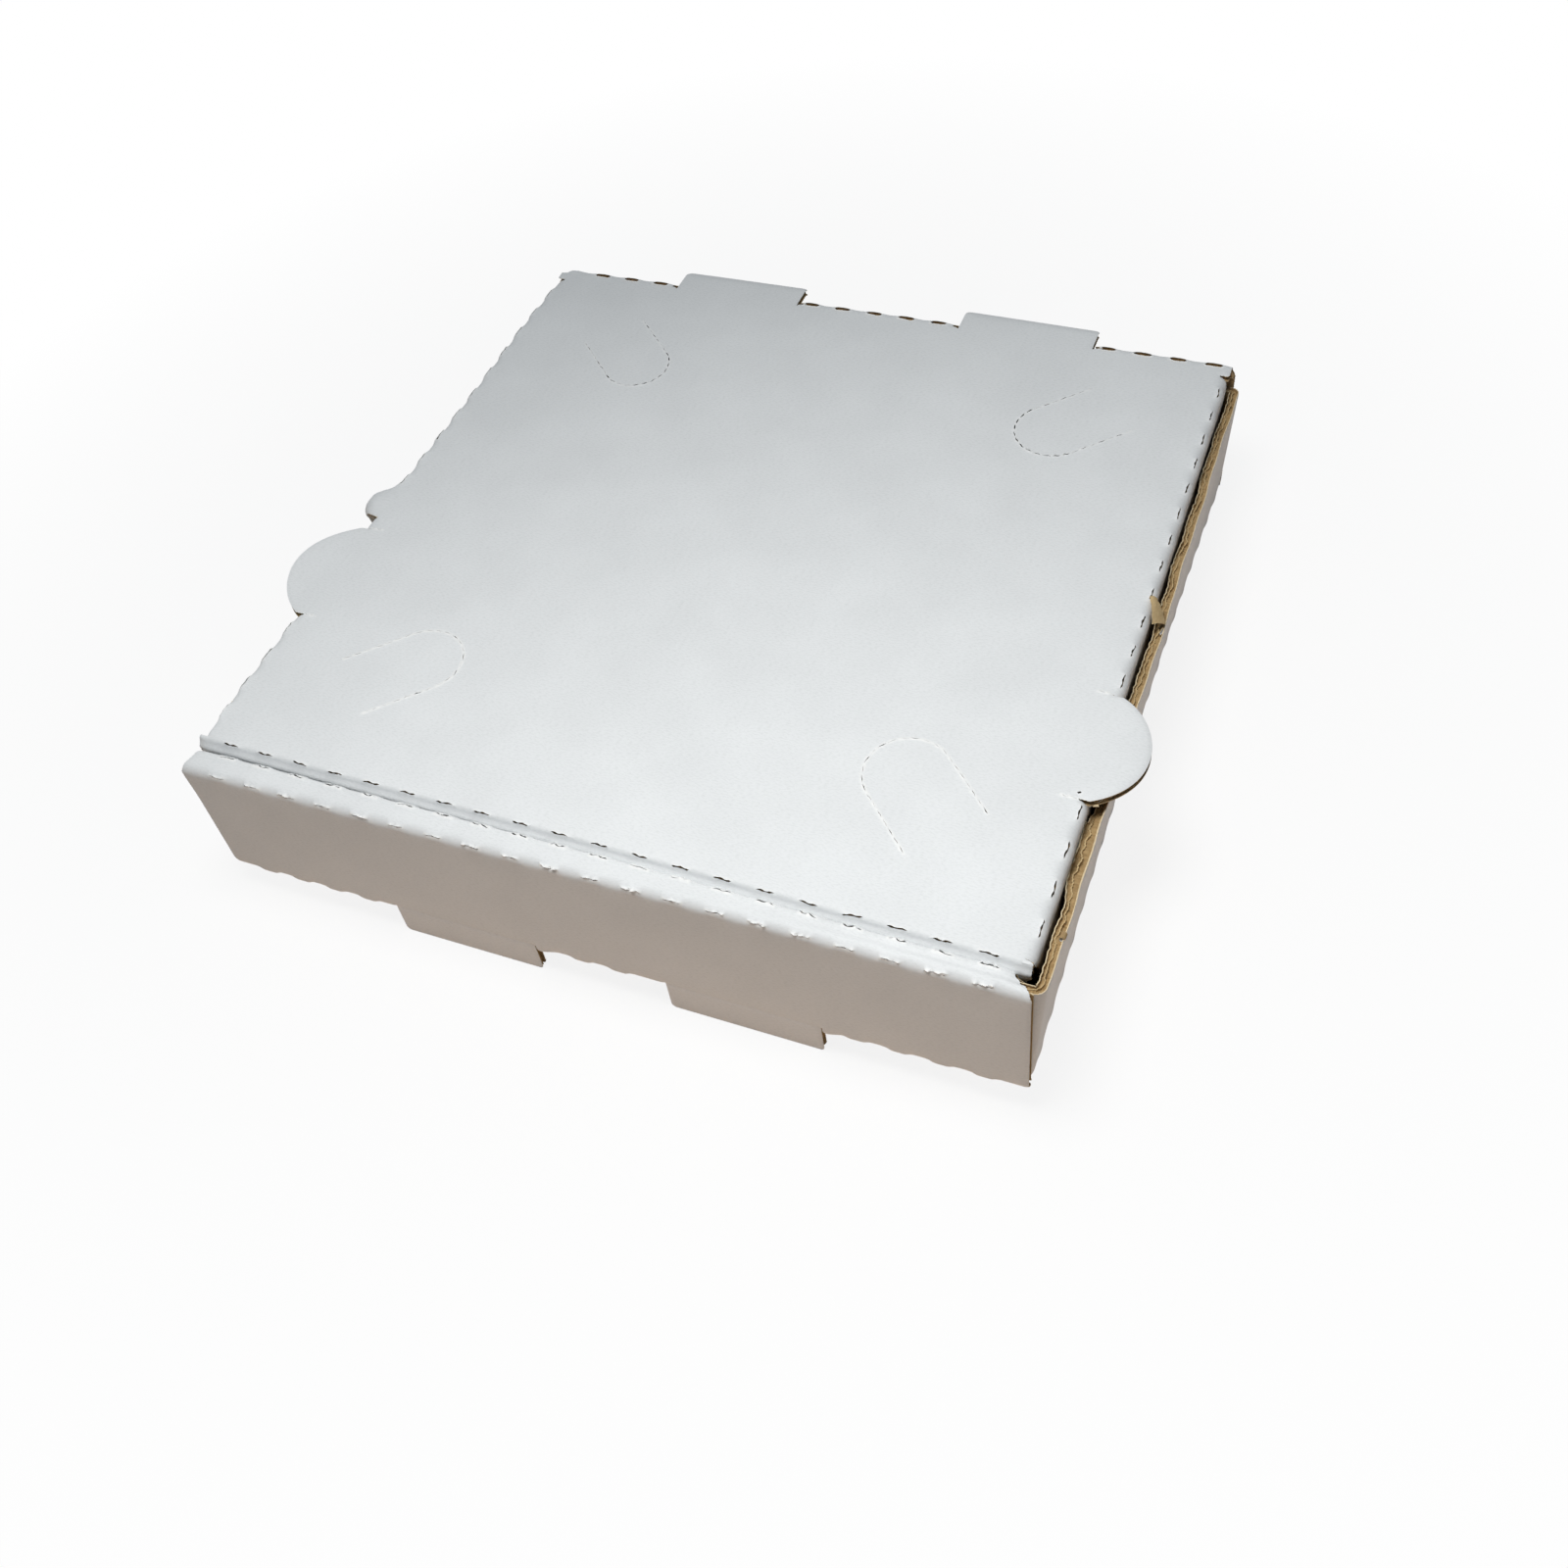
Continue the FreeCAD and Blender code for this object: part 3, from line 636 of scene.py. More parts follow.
def spine_board():
    foot = spine.length
    vents, tongues = [], []
    for s in (-1, 1):
        half = VENT_WIDE / 2 + 0.5
        vents += tab(s * VENT_AT - half, s * VENT_AT + half, 0, BACK_TOP - VENT_SILL, 1.2)
        half = LOCK_WIDE / 2 - 1.2
        tongues += tab(-s * LOCK_AT + half, -s * LOCK_AT - half, foot, foot + FOOT - 0.3, 1.3)
    floor_start, floor_end = REAR_FOLD[1] - 0.4, FRONT_FOLD[0] + 0.4
    torn_end = [(HALF_W, TOP_FOLD[0]), (132.8, TOP_FOLD[0] + 1.8), (132.4, TOP_FOLD[0] + 3.0),
                (131.2, TOP_FOLD[1] + 0.3), (130.9, TOP_FOLD[1] + 1.2), (129.4, TOP_FOLD[1] + 1.9),
                (129.1, STRIP_FOLD[0] + 0.4), (127.6, STRIP_FOLD[0] + 1.3), (127.3, STRIP_FOLD[0] + 2.2),
                (128.3, STRIP_FOLD[1]), (INNER_HALF, STRIP_FOLD[1] + 3), (INNER_HALF, foot)]
    left_end = [(-INNER_HALF, foot), (-131.9, STRIP_FOLD[1]), (-132.1, STRIP_FOLD[0] + 1.5),
                (-133.7, TOP_FOLD[0] + 3.2, 1.2), (-134.3, TOP_FOLD[0]), (-HALF_W, TOP_FOLD[0] - 12)]
    outline = [(-HALF_W, 0)] + vents + [
        (HALF_W, 0), (HALF_W, floor_start), (FLOOR_HALF, floor_start), (FLOOR_HALF, floor_end),
        (HALF_W, floor_end)] + torn_end + tongues + left_end + [
        (-HALF_W, floor_end), (-FLOOR_HALF, floor_end), (-FLOOR_HALF, floor_start), (-HALF_W, floor_start)]
    loops = [serrate(rounded(outline))]
    for s in (-1, 1):
        a, b = s * LOCK_AT - LOCK_WIDE / 2, s * LOCK_AT + LOCK_WIDE / 2
        slot, up, k = FRONT_FOLD[0] - (LOCK_SLOT - FOLD), FRONT_FOLD[1], 0.35
        loops.append(serrate(rounded([(a - k, up), (a - k, slot), (b + k, slot), (b + k, up), (b, up),
                                      (b, TAB_TIP, 1.4), (a, TAB_TIP, 1.8), (a, up)])))
    strip_slits = [p for p in TOP_SLITS if abs(p) < INNER_HALF - 6]
    lines = [(TOP_SLITS, TOP_LINE, 0.16, 1.0), (BOTTOM_SLITS, BOTTOM_LINE, 0.6, 0.1),
             (TOP_SLITS, REAR_LINE, 0.6, 0.1), (strip_slits, STRIP_LINE, 0.07, 0.45)]
    slits = [Slit((p, line), (1, 0), SLIT, width, rise, lean=1.6, torn=0.9)
             for places, line, width, rise in lines for p in places]
    vs = []
    for fold in spine.folds():
        vs += list(np.linspace(fold[0] - 2.0, fold[1] + 2.0, 11))
    us = np.arange(-HALF_W + 0.6, HALF_W, 1.7)
    flat_zone = grid(np.arange(-HALF_W + 2, HALF_W, 5.0), np.arange(3.0, spine.length, 5.0))
    for fold in spine.folds():
        flat_zone = flat_zone[(flat_zone[:, 1] < fold[0] - 3) | (flat_zone[:, 1] > fold[1] + 3)]
    return board("tray_floor_and_walls", loops, slits, np.vstack([grid(us, vs), flat_zone]), spine_fold)


tray_spine = spine_board()


# Tray: side walls with their corner tabs

wall = Path([(HALF_W - CORNER_TAB, REAR - LAYER), (HALF_W, REAR - LAYER), (HALF_W, FRONT + LAYER),
             (HALF_W - CORNER_TAB, FRONT + LAYER)])
REAR_CORNER, FRONT_CORNER = wall.folds()
WALL_TOP = SIDE_TOP - FOLD + ARC
SIDE_SLITS = slit_places(HALF_W + 0.5)


def wall_w(y):
    """Length along the side wall's path at depth y."""
    return REAR_CORNER[1] + (REAR - LAYER - FOLD - y)


def lean_right(y):
    return SIDE_LEAN + 0.3 * np.exp(-((y + 85) / 14) ** 2) - 0.3 * smooth((y - 10) / 60)


def flare_right(y):
    """How much thicker the board stands at the top edge, where its liners have come apart."""
    return 0.16 + 0.50 * smooth((y + 100) / 8) * smooth((-64 - y) / 8) + 0.10 * np.sin(y * 0.13) ** 2


def dent_right(y):
    """Under the ear the inner liner and the flutes are pushed down."""
    return 2.2 * smooth((y + 71.5) / 1.2) * smooth((-30 - y) / 12)


def side_fold_for(lean, flare, dent, raised, belly):
    """The fold of one side wall; raised is its extra height at the front, and belly draws its foot in."""
    def fold(p, depth):
        w, h = p[:, 0], p[:, 1]
        point, normal = wall.at(w)
        on_wall = np.abs(normal[:, 0]) > 0.5
        y0 = point[:, 1]
        top = smooth((h - WALL_TOP + 8) / 8)
        ragged = 0.35 * np.sin(y0 * 0.9 + 2 * np.sin(y0 * 0.37)) + 0.25 * np.sin(y0 * 2.3)
        inner = smooth((depth - 0.8) / 1.4)
        depth = depth * (1 + np.where(on_wall, flare(y0) * top, 0)) + inner * top * 0.35 * ragged * on_wall
        angle = np.clip(h / FOLD, 0, math.pi / 2)
        run = np.maximum(0, h - ARC)
        out = FOLD * np.sin(angle) - FOLD - depth * np.sin(angle)
        z = FOLD - FOLD * np.cos(angle) + run + depth * np.cos(angle)
        lift = -0.45 * smooth(1 - np.abs(h - ARC / 2) / 4) * np.cos((w - wall_w(0)) * 2 * math.pi / PITCH)
        x = point[:, 0] + normal[:, 0] * (out + lift)
        y = y0 + normal[:, 1] * (out + lift)
        wave = 0.22 * np.sin(y0 * 0.105 + 1.0) + 0.14 * np.sin(y0 * 0.29)
        up = z / SIDE_TOP
        x = x + (lean(y0) + wave) * up - belly * np.clip(1 - (y0 / 131) ** 2, 0, 1) * np.clip(1 - up, 0, 1)
        edge = smooth((h - WALL_TOP + 3) / 3) * inner
        z = z * (1 + raised * smooth((-y0 - 100) / 28)) - edge * (dent(y0) + 0.4 * np.abs(ragged)) * on_wall
        return np.c_[x, y, z]
    return fold


def side_board(name, fold, mirror):
    wall_start, wall_end = REAR_CORNER[1] + 0.3, FRONT_CORNER[0] - 0.3
    outline = [(0, WALL_TOP, 9), (0, ARC, 9), (wall_start, ARC), (wall_start, 0), (wall_end, 0),
               (wall_end, ARC), (wall.length, ARC, 9), (wall.length, WALL_TOP, 9)]
    loops = [serrate(rounded(outline))]
    middle = wall_w(0)
    slits = [Slit((middle + p, ARC / 2), (1, 0), SLIT, 0.6, 0.1) for p in SIDE_SLITS if abs(p) < HALF_W - 9]
    fine = grid(np.arange(wall_start, wall_end, 1.8), np.linspace(0.5, ARC + 2, 7))
    rim = grid(np.arange(wall_start, wall_end, 2.0), WALL_TOP - np.array([3.0, 5.0, 8.0]))
    coarse = grid(np.arange(2, wall.length, 4.0), np.arange(ARC + 4, WALL_TOP - 9, 4.0))
    corners = [grid(np.linspace(f[0] - 1, f[1] + 1, 9), np.arange(ARC + 1, WALL_TOP, 3.0))
               for f in (REAR_CORNER, FRONT_CORNER)]
    near_corner = ((coarse[:, 0] > REAR_CORNER[0] - 2) & (coarse[:, 0] < REAR_CORNER[1] + 2)
                   | (coarse[:, 0] > FRONT_CORNER[0] - 2) & (coarse[:, 0] < FRONT_CORNER[1] + 2))
    inner = np.vstack([fine, rim, coarse[~near_corner]] + corners)
    return board(name, loops, slits, inner, fold, flutes=1, mirror=mirror, crush=0.1)


LID_SHIFT = -1.1                   # the lid sits a little to the left of the tray


def lean_left(y):
    return (SIDE_LEAN - LID_SHIFT + 0.3) * smooth((y + 126) / 24)


fold_right = side_fold_for(lean_right, flare_right, dent_right, 0.04, 1.6)
fold_left = side_fold_for(lean_left, lambda y: 0.12, lambda y: 0, 0.0, 0.8)
side_right = side_board("tray_side_right", fold_right, False)
side_left = side_board("tray_side_left", fold_left, True)


# Lid

side_path = Path([(0, LID_TOP), (LID_HALF, LID_TOP),
                  (LID_HALF - FLAP * math.sin(SIDE_TOE), LID_TOP - FLAP * math.cos(SIDE_TOE))])
front_path = Path([(0, LID_TOP), (-LID_FRONT, LID_TOP),
                   (-LID_FRONT - FLAP * math.sin(FRONT_TOE), LID_TOP - FLAP * math.cos(FRONT_TOE))])
SIDE_CREASE, FRONT_CREASE = side_path.folds()[0], front_path.folds()[0]
EAR_REACH = EAR_TIP - LID_HALF
LID_REAR = HINGE[1] - 1.75
LID_SIDE_LINE = SIDE_CREASE[0] + 1.35
LID_FRONT_LINE = FRONT_CREASE[0] + 1.2
FRONT_BEND = (FRONT_CREASE[1] - LID_FRONT_LINE) / FOLD / 2    # half the turn of the flat band below the slits


class Ear:
    """One thumb ear: side, middle along the lid's edge, and half its chord."""

    def __init__(self, side, at, half):
        self.side, self.at, self.half = side, at, half
        self.radius = (half ** 2 + EAR_REACH ** 2) / (2 * EAR_REACH)
        self.centre = LID_HALF + EAR_REACH - self.radius

    def holds(self, x, y):
        across, along = x * self.side - self.centre, y - self.at
        return (np.hypot(across, along) < self.radius + 0.25) & (np.abs(along) < self.half + 0.2)

    def loop(self):
        """The knife's line round the ear, as a thin closed ring."""
        k, crease = 0.3, SIDE_CREASE[0]
        angle = math.asin(self.half / self.radius)
        ear = arc_points((self.centre, self.at), self.radius, -angle, angle)
        hole_angle = math.asin(min(1.0, (self.half + k) / (self.radius + k)))
        hole = arc_points((self.centre, self.at), self.radius + k, hole_angle, -hole_angle)
        low, high = self.at - self.half, self.at + self.half
        ring = np.vstack([[(crease, low)], ear, [(crease, high), (crease, high + k)], hole,
                          [(crease, low - k)]])
        return serrate(ring * (self.side, 1), 0.05)


EARS = [Ear(-1, EAR_AT + 2.1, EAR_HALF + 0.5), Ear(1, EAR_AT - 1.8, EAR_HALF - 0.8)]
SIDE_MIDDLE = sum(SIDE_FLAP) / 2


def side_slit_places(ear):
    clear = [(ear.at - ear.half - SIDE_MIDDLE, ear.at + ear.half - SIDE_MIDDLE)]
    return [p + SIDE_MIDDLE for p in slit_places((SIDE_FLAP[1] - SIDE_FLAP[0]) / 2, clear)]


SIDE_PLACES = {ear.side: side_slit_places(ear) for ear in EARS}
LID_FRONT_SLITS = slit_places(FRONT_FLAP)
# The left side flap is torn across, at a slant, and its rear part stands out over the wall.
TEAR_AT, TEAR_SLANT, TEAR_LENGTH = -17.0, 0.5, 12


def rear_lift(x):
    """How far the hinge crease stands above the lid's closed height."""
    return 2.3 - 1.3 * smooth((x - 10) / 125) - 0.3 * smooth((-x - 60) / 75)


def lid_shape(at):
    """The closed lid as it lies: a slight crown, sprung up at the hinge, pressed down at the front right."""
    x, y, z = at[:, 0].copy(), at[:, 1].copy(), at[:, 2].copy()
    crown = 0.7 * np.cos(np.clip(x / LID_HALF, -1, 1) * math.pi / 2)
    crown *= np.cos(np.clip(y / 135, -1, 1) * math.pi / 2)
    crown += np.where(x < 0, 0.012, -0.007) * np.clip(np.abs(x) - LID_HALF, 0, 20) ** 2
    front = smooth((-y - 60) / 55)
    high = smooth((z - 42) / 7)
    z += crown + rear_lift(x) * smooth((y - 35) / 96) - 1.2 * smooth((x + 10) / 130) * front
    z -= 0.45 * np.maximum(0, y - VENT_TIP + 3.6)
    y += front * high * (-0.65 - 0.0085 * x)
    x += 1.2 * smooth((y - 88) / 46) * smooth((-x - 95) / 38)
    return np.c_[x + LID_SHIFT, y, z]


def flap_bulge(y, s):
    """How far the torn left flap stands out, at a length s past the crease's start."""
    behind = y > TEAR_AT + TEAR_SLANT * np.clip(s - 1, 0, TEAR_LENGTH)
    along = np.where(behind, smooth((3.0 - y) / 9) * (1 - 0.35 * smooth((-9 - y) / 8)), 0)
    return 9.4 * along * np.sin(np.clip(s / 23, 0, 1) * math.pi) ** 0.8


def lid_fold(p, depth):
    x, y = p[:, 0], p[:, 1]
    sign = np.where(x < 0, -1.0, 1.0)
    u = np.abs(x)
    at = np.c_[x, y, LID_TOP - depth]
    for ear in EARS:
        own = (sign == ear.side) & (u > SIDE_CREASE[0]) & (y > SIDE_FLAP[0] - 0.9) & (y < SIDE_FLAP[1] + 0.2)
        own &= ~ear.holds(x, y)
        if own.any():
            point, normal = side_path.at(u[own])
            lift = crease_bulge(y[own], u[own], SIDE_CREASE, SIDE_PLACES[ear.side], 0.3, 0.35)
            q = point + normal * (lift - depth[own])[:, None]
            if ear.side < 0:
                s = u[own] - SIDE_CREASE[0]
                q += flap_bulge(y[own], s)[:, None] * (1.0, 0.2)
                q[:, 0] -= smooth((-y[own] - 102) / 18) * (1.3 * smooth(s / 3) + 2.2 * smooth((s - 1.5) / 5))
            at[own] = np.c_[q[:, 0] * ear.side, y[own], q[:, 1]]
    front = (-y > FRONT_CREASE[0]) & (u < LID_HALF + 0.3)
    if front.any():
        point, normal = front_path.at(-y[front])
        lift = crease_bulge(x[front], -y[front], FRONT_CREASE, LID_FRONT_SLITS, 0.0, 0.3)
        past = np.clip((-y[front] - LID_FRONT_LINE) / (FRONT_CREASE[1] - LID_FRONT_LINE), 0, 1)
        lift -= FOLD * (np.cos((2 * past - 1) * FRONT_BEND) - math.cos(FRONT_BEND))
        q = point + normal * (lift - depth[front])[:, None]
        at[front] = np.c_[x[front], -q[:, 0], q[:, 1]]
    return lid_shape(at)


def punch_slits():
    """Short cuts along each of the four U-shaped lines, their lips just raised."""
    slits = []
    for edge, end in ((LID_FRONT, 1), (REAR, -1)):
        for side in (-1, 1):
            far_left = side < 0 and end < 0
            radius = PUNCH_RADIUS - (1.0 if far_left else 0.0)
            straight = PUNCH_LENGTH - radius
            total = 2 * straight + math.pi * radius
            middle_x = side * PUNCH_X - LID_SHIFT + (2.5 if far_left else 0)
            origin = np.array([middle_x, edge + end * PUNCH_INSET])
            axis = np.array([-side * math.cos(PUNCH_ANGLE), end * math.sin(PUNCH_ANGLE)])
            across = np.array([-axis[1], axis[0]])
            count = int(total / 3.3)
            for i in range(count):
                s = (i + 0.5) * total / count
                if s < straight:
                    local, direction = (s, -radius), (1, 0)
                elif s > total - straight:
                    local, direction = (total - s, radius), (-1, 0)
                else:
                    a = (s - straight) / radius - math.pi / 2
                    local = (straight + radius * math.cos(a), radius * math.sin(a))
                    direction = (-math.sin(a), math.cos(a))
                middle = origin + axis * local[0] + across * local[1]
                along = axis * direction[0] + across * direction[1]
                round_end = straight < s < total - straight
                width = 0.42 if end < 0 and round_end else rng.choice((0.06, 0.12, 0.26))
                rise = 0.5 if round_end else 0.4
                slits.append(Slit(middle, along, 2.95, width, rise, 0.03, torn=0.9 if end > 0 else 0.5))
    return slits


def ear_root_slits():
    """The ear's cut runs on a little into the lid at each root, and one small hole lies beside it."""
    slits = []
    for ear in EARS:
        for end in (-1, 1):
            root = np.array([ear.side * (SIDE_CREASE[0] - 2.6), ear.at + end * (ear.half + 0.3)])
            slits.append(Slit(root, (1, 0), 4.6, 0.05, 0.5, 0.02, torn=0.9))
    slits.append(Slit((SIDE_CREASE[0] - 0.3, EARS[1].at - EARS[1].half + 1.9), (1, 0), 1.3, 0.75, 0.1, 0.1))
    return slits


def on_hinge_seam(p):
    """The lid's rear edge between the vent tabs, which runs on into the hinge strips."""
    return abs(p[1] - LID_REAR) < 0.05


def lid_board():
    half, crease = LID_HALF, SIDE_CREASE[0]
    flap_end, front_end = side_path.length, front_path.length
    y0, y1 = -FRONT_CREASE[0] + 0.3, SIDE_FLAP[1]
    tabs = []
    for s in (1, -1):
        a, b = s * VENT_AT + VENT_WIDE / 2 - LID_SHIFT, s * VENT_AT - VENT_WIDE / 2 - LID_SHIFT
        tabs += [(a, LID_REAR), (a, VENT_TIP, 2.4), (b, VENT_TIP, 1.8), (b, LID_REAR)]

    def one_side(root):
        return [
            (FRONT_FLAP - FLAP_TAPER, -front_end, 8), (root, -FRONT_CREASE[1] - 3), (root, -FRONT_CREASE[1]),
            (root, -FRONT_CREASE[0]), (crease + 0.1, -FRONT_CREASE[0] + 0.15), (crease, y0),
            (SIDE_CREASE[1], y0 + 0.2), (flap_end, y0 + FLAP_TAPER + 3, 8), (flap_end, y1 - FLAP_TAPER, 8),
            (SIDE_CREASE[1], y1), (crease, y1), (crease, y1 + 0.6), (half, y1 + 0.6, 0.8), (half, LID_REAR)]

    right = one_side(half - 0.9)
    left = [(-c[0],) + c[1:] for c in reversed(one_side(half - 0.3))]
    loops = [serrate(rounded(right + tabs + left), calm=on_hinge_seam)]
    loops += [ear.loop() for ear in EARS]
    tear_start, tear_end = -(crease + 1), -(crease + 1 + TEAR_LENGTH)
    tear_high = TEAR_AT + TEAR_LENGTH * TEAR_SLANT
    loops.append(serrate(np.array([(tear_start, TEAR_AT), (tear_end, tear_high), (tear_end, tear_high - 0.4),
                                   (tear_start, TEAR_AT - 0.4)]), 0.04))
    slits = [Slit((side * LID_SIDE_LINE, p), (0, 1), SLIT, 0.42, 0.35) for side, places in SIDE_PLACES.items()
             for p in places if side > 0 or not -19 < p < 2]
    slits += [Slit((p, -LID_FRONT_LINE), (1, 0), SLIT, 0.42, 0.4) for p in LID_FRONT_SLITS]
    slits += punch_slits() + ear_root_slits()

    panel = grid(np.arange(-crease + 2, crease - 1, 4.0), np.arange(-FRONT_CREASE[0] + 2, LID_REAR - 1, 4.0))
    vents = grid(np.arange(-85, 88, 2.5), np.arange(LID_REAR + 1, VENT_TIP, 2.0))
    front_vs = np.linspace(FRONT_CREASE[0] - 0.6, FRONT_CREASE[1] + 0.8, 8)
    front = grid(np.arange(-half + 1, half, 1.7), -front_vs)
    side_us = np.linspace(SIDE_CREASE[0] - 0.6, SIDE_CREASE[1] + 0.8, 8)
    sides = grid(np.r_[-side_us, side_us], np.arange(y0 + 0.8, y1, 1.7))
    flap_us = np.arange(SIDE_CREASE[1] + 3, flap_end, 4.0)
    flaps = grid(np.r_[-flap_us, flap_us], np.arange(y0 + 2, y1, 4.0))
    bulged = grid(-np.arange(SIDE_CREASE[1] + 1, SIDE_CREASE[1] + 22, 1.3), np.arange(-20, 8, 1.3))
    front_flap_vs = np.arange(FRONT_CREASE[1] + 3, front_end, 4.0)
    front_flap = grid(np.arange(-FRONT_FLAP + 2, FRONT_FLAP, 4.0), -front_flap_vs)
    inner = np.vstack([panel, vents, front, sides, flaps, bulged, front_flap])
    return board("lid_panel_and_flaps", loops, slits, inner, lid_fold, calm=on_hinge_seam)


lid_sheet = lid_board()


# Hinge crease

HINGE_RADIUS = 1.5
HINGE_LINE = 1.5
hinge_path = Path([(LID_REAR, LID_TOP), (REAR, LID_TOP), (REAR, BACK_TOP)], HINGE_RADIUS)


def hinge_fold(p, depth):
    x, v = p[:, 0], p[:, 1] - LID_REAR
    point, normal = hinge_path.at(v)
    bulge = 0.2 * smooth(v / 1.5) * smooth((hinge_path.length - v) / 2) * np.cos(x * 2 * math.pi / PITCH)
    crushed = 1 - 0.45 * smooth(v / 1.2) * smooth((hinge_path.length - v) / 1.2)
    q = point + normal * (bulge - depth * crushed)[:, None]
    rise = smooth((q[:, 1] - BACK_TOP) / (LID_TOP - BACK_TOP - 1.2))
    closed = lid_shape(np.c_[x, q])
    return np.c_[x + LID_SHIFT * rise, q[:, 0], q[:, 1] + (closed[:, 2] - q[:, 1]) * rise]


def hinge_strip(name, x0, x1, notch_left=0.0, notch_right=0.0, slant=0.3):
    """The board that bends over the back wall into the lid, from x0 to x1, notched beside the vent tabs.

    Its left end runs in by slant from the lid to the back wall."""
    v0, v1 = LID_REAR, LID_REAR + hinge_path.length

    def on_seam(p):
        return p[1] < v0 + 0.05 or p[1] > v1 - 0.05

    outline = [(x1, v0), (x1, v0 + 0.5)]
    if notch_right:
        outline += [(x1 - notch_right, v0 + 1.2), (x1 - notch_right * 0.6, v0 + 2.6)]
    outline += [(x1, v0 + 3.0), (x1, v1), (x0 + slant, v1), (x0 + slant, v0 + 3.0)]
    if notch_left:
        outline += [(x0 + notch_left * 0.6, v0 + 2.6), (x0 + notch_left, v0 + 1.2)]
    outline += [(x0 + slant * 0.4, v0 + 0.5), (x0, v0)]
    loops = [serrate(rounded(outline), calm=on_seam)]
    places = [p for p in np.arange(-10, 11) * PITCH if x0 + slant + 4.5 < p < x1 - 4.5]
    slits = [Slit((p, v0 + HINGE_LINE), (1, 0), SLIT + 0.8, 1.9, 0.2, torn=0.9) for p in places]
    inner = grid(np.arange(x0 + 0.8, x1, 1.6), v0 + np.linspace(0.5, hinge_path.length - 0.5, 8))
    return board(name, loops, slits, inner, hinge_fold, crush=0.2, hollow=1.5, calm=on_seam)


VENT_LOW, VENT_HIGH = VENT_AT - VENT_WIDE / 2 - 0.4, VENT_AT + VENT_WIDE / 2 + 0.4
hinge_strips = [
    hinge_strip("hinge_left", -LID_HALF + 1.5, -VENT_HIGH - LID_SHIFT, 0, 2.2, 4.5),
    hinge_strip("hinge_middle", -VENT_LOW - LID_SHIFT, VENT_LOW - LID_SHIFT, 3.2, 2.2),
    hinge_strip("hinge_right", VENT_HIGH - LID_SHIFT, LID_HALF, 3.2, 0),
]
for strip in hinge_strips:
    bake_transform(strip)


# Small tears

def paper_patch(name, rows, sides):
    """A scrap of liner lofted through equally long rows of points, with the materials of its two sides."""
    rows = np.array(rows, float)
    n, m = rows.shape[:2]
    normal = np.cross(np.gradient(rows, axis=1), np.gradient(rows, axis=0))
    normal /= np.maximum(np.linalg.norm(normal, axis=2), 1e-9)[..., None]
    verts = np.vstack([rows.reshape(-1, 3), (rows - normal * LINER).reshape(-1, 3)])
    at = np.arange(n * m).reshape(n, m)
    faces, kinds = [], []
    for i in range(n - 1):
        for j in range(m - 1):
            a, b, c, d = at[i, j], at[i, j + 1], at[i + 1, j + 1], at[i + 1, j]
            faces += [(a, b, c, d), (d + n * m, c + n * m, b + n * m, a + n * m)]
            kinds += sides
    ring = [*at[0], *at[1:, -1], *at[-1, -2::-1], *at[-2:0:-1, 0]]
    for a, b in zip(ring, ring[1:] + ring[:1]):
        faces.append((b, a, a + n * m, b + n * m))
        kinds.append(LIP)
    flat = np.c_[verts[:, 1], verts[:, 0], verts[:, 2]]
    return make_object(name, verts, faces, kinds, flat)


def bezier(a, b, c, d, t):
    a, b, c, d = (np.array(p, float) for p in (a, b, c, d))
    return a * (1 - t) ** 3 + 3 * b * t * (1 - t) ** 2 + 3 * c * t ** 2 * (1 - t) + d * t ** 3


def torn_leaf():
    """A scrap of kraft liner torn up at the lid's right crease, lying over the wall's top edge."""
    rows = []
    for i, t in enumerate(np.linspace(0, 1, 12)):
        left = bezier((130.2, 13.2, 53.3), (131.4, 10.5, 53.0), (132.2, 8.0, 51.8), (132.8, 5.8, 49.4), t)
        right = bezier((131.9, 13.4, 53.0), (133.4, 12.6, 52.4), (134.8, 11.2, 49.4), (136.3, 8.6, 47.6), t)
        jag = 0.25 * np.sin(i * 2.1) * np.array([0, 1, 0.3])
        rows.append([left + jag + (right - left) * s + np.array([0, 0, 0.5]) * math.sin(s * math.pi)
                     for s in np.linspace(0, 1, 7)])
    return paper_patch("lid_torn_leaf", rows, [MEDIUM, MEDIUM])


def paper_curl(name, base, axis, side, length, radius, turns=0.8, outside=WHITE):
    """A small torn lip of liner that has curled back."""
    base, axis, side = (np.array(v, float) for v in (base, axis, side))
    up = np.array([0, 0, 1.0])
    centre = base + up * radius
    rows = []
    for t in np.linspace(0, 1, 9):
        angle = t * turns * 2 * math.pi
        ring = centre + radius * (1 - 0.25 * t) * (side * math.sin(angle) - up * math.cos(angle))
        rows.append([ring + axis * length * s * (1 - 0.3 * t) for s in np.linspace(-0.5, 0.5, 5)])
    return paper_patch(name, rows, [outside, KRAFT])


leaf = torn_leaf()
nick_curl = paper_curl("tray_torn_nick", (135.9, -110.8, 45.9), (0.1, 1, 0), (-1, 0.1, 0), 2.6, 0.75)
leaf_curl = paper_curl("tray_torn_lip", (136.2, 6.6, 45.8), (0.2, 1, 0), (-1, 0, 0), 2.4, 0.6, 0.4)
root_curl = paper_curl("lid_torn_root", (133.9, -68.2, 49.4), (1, 0.3, 0), (0, -1, 0), 1.7, 0.4, 0.7, LIP)

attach(tray_spine, "tray")
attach(side_right, "tray")
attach(side_left, "tray")
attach(lid_sheet, "lid")
for scrap, body in ((leaf, "lid"), (nick_curl, "tray"), (leaf_curl, "tray"), (root_curl, "lid")):
    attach(scrap, body)
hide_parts("tray")
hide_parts("lid")


# Stage, light and camera

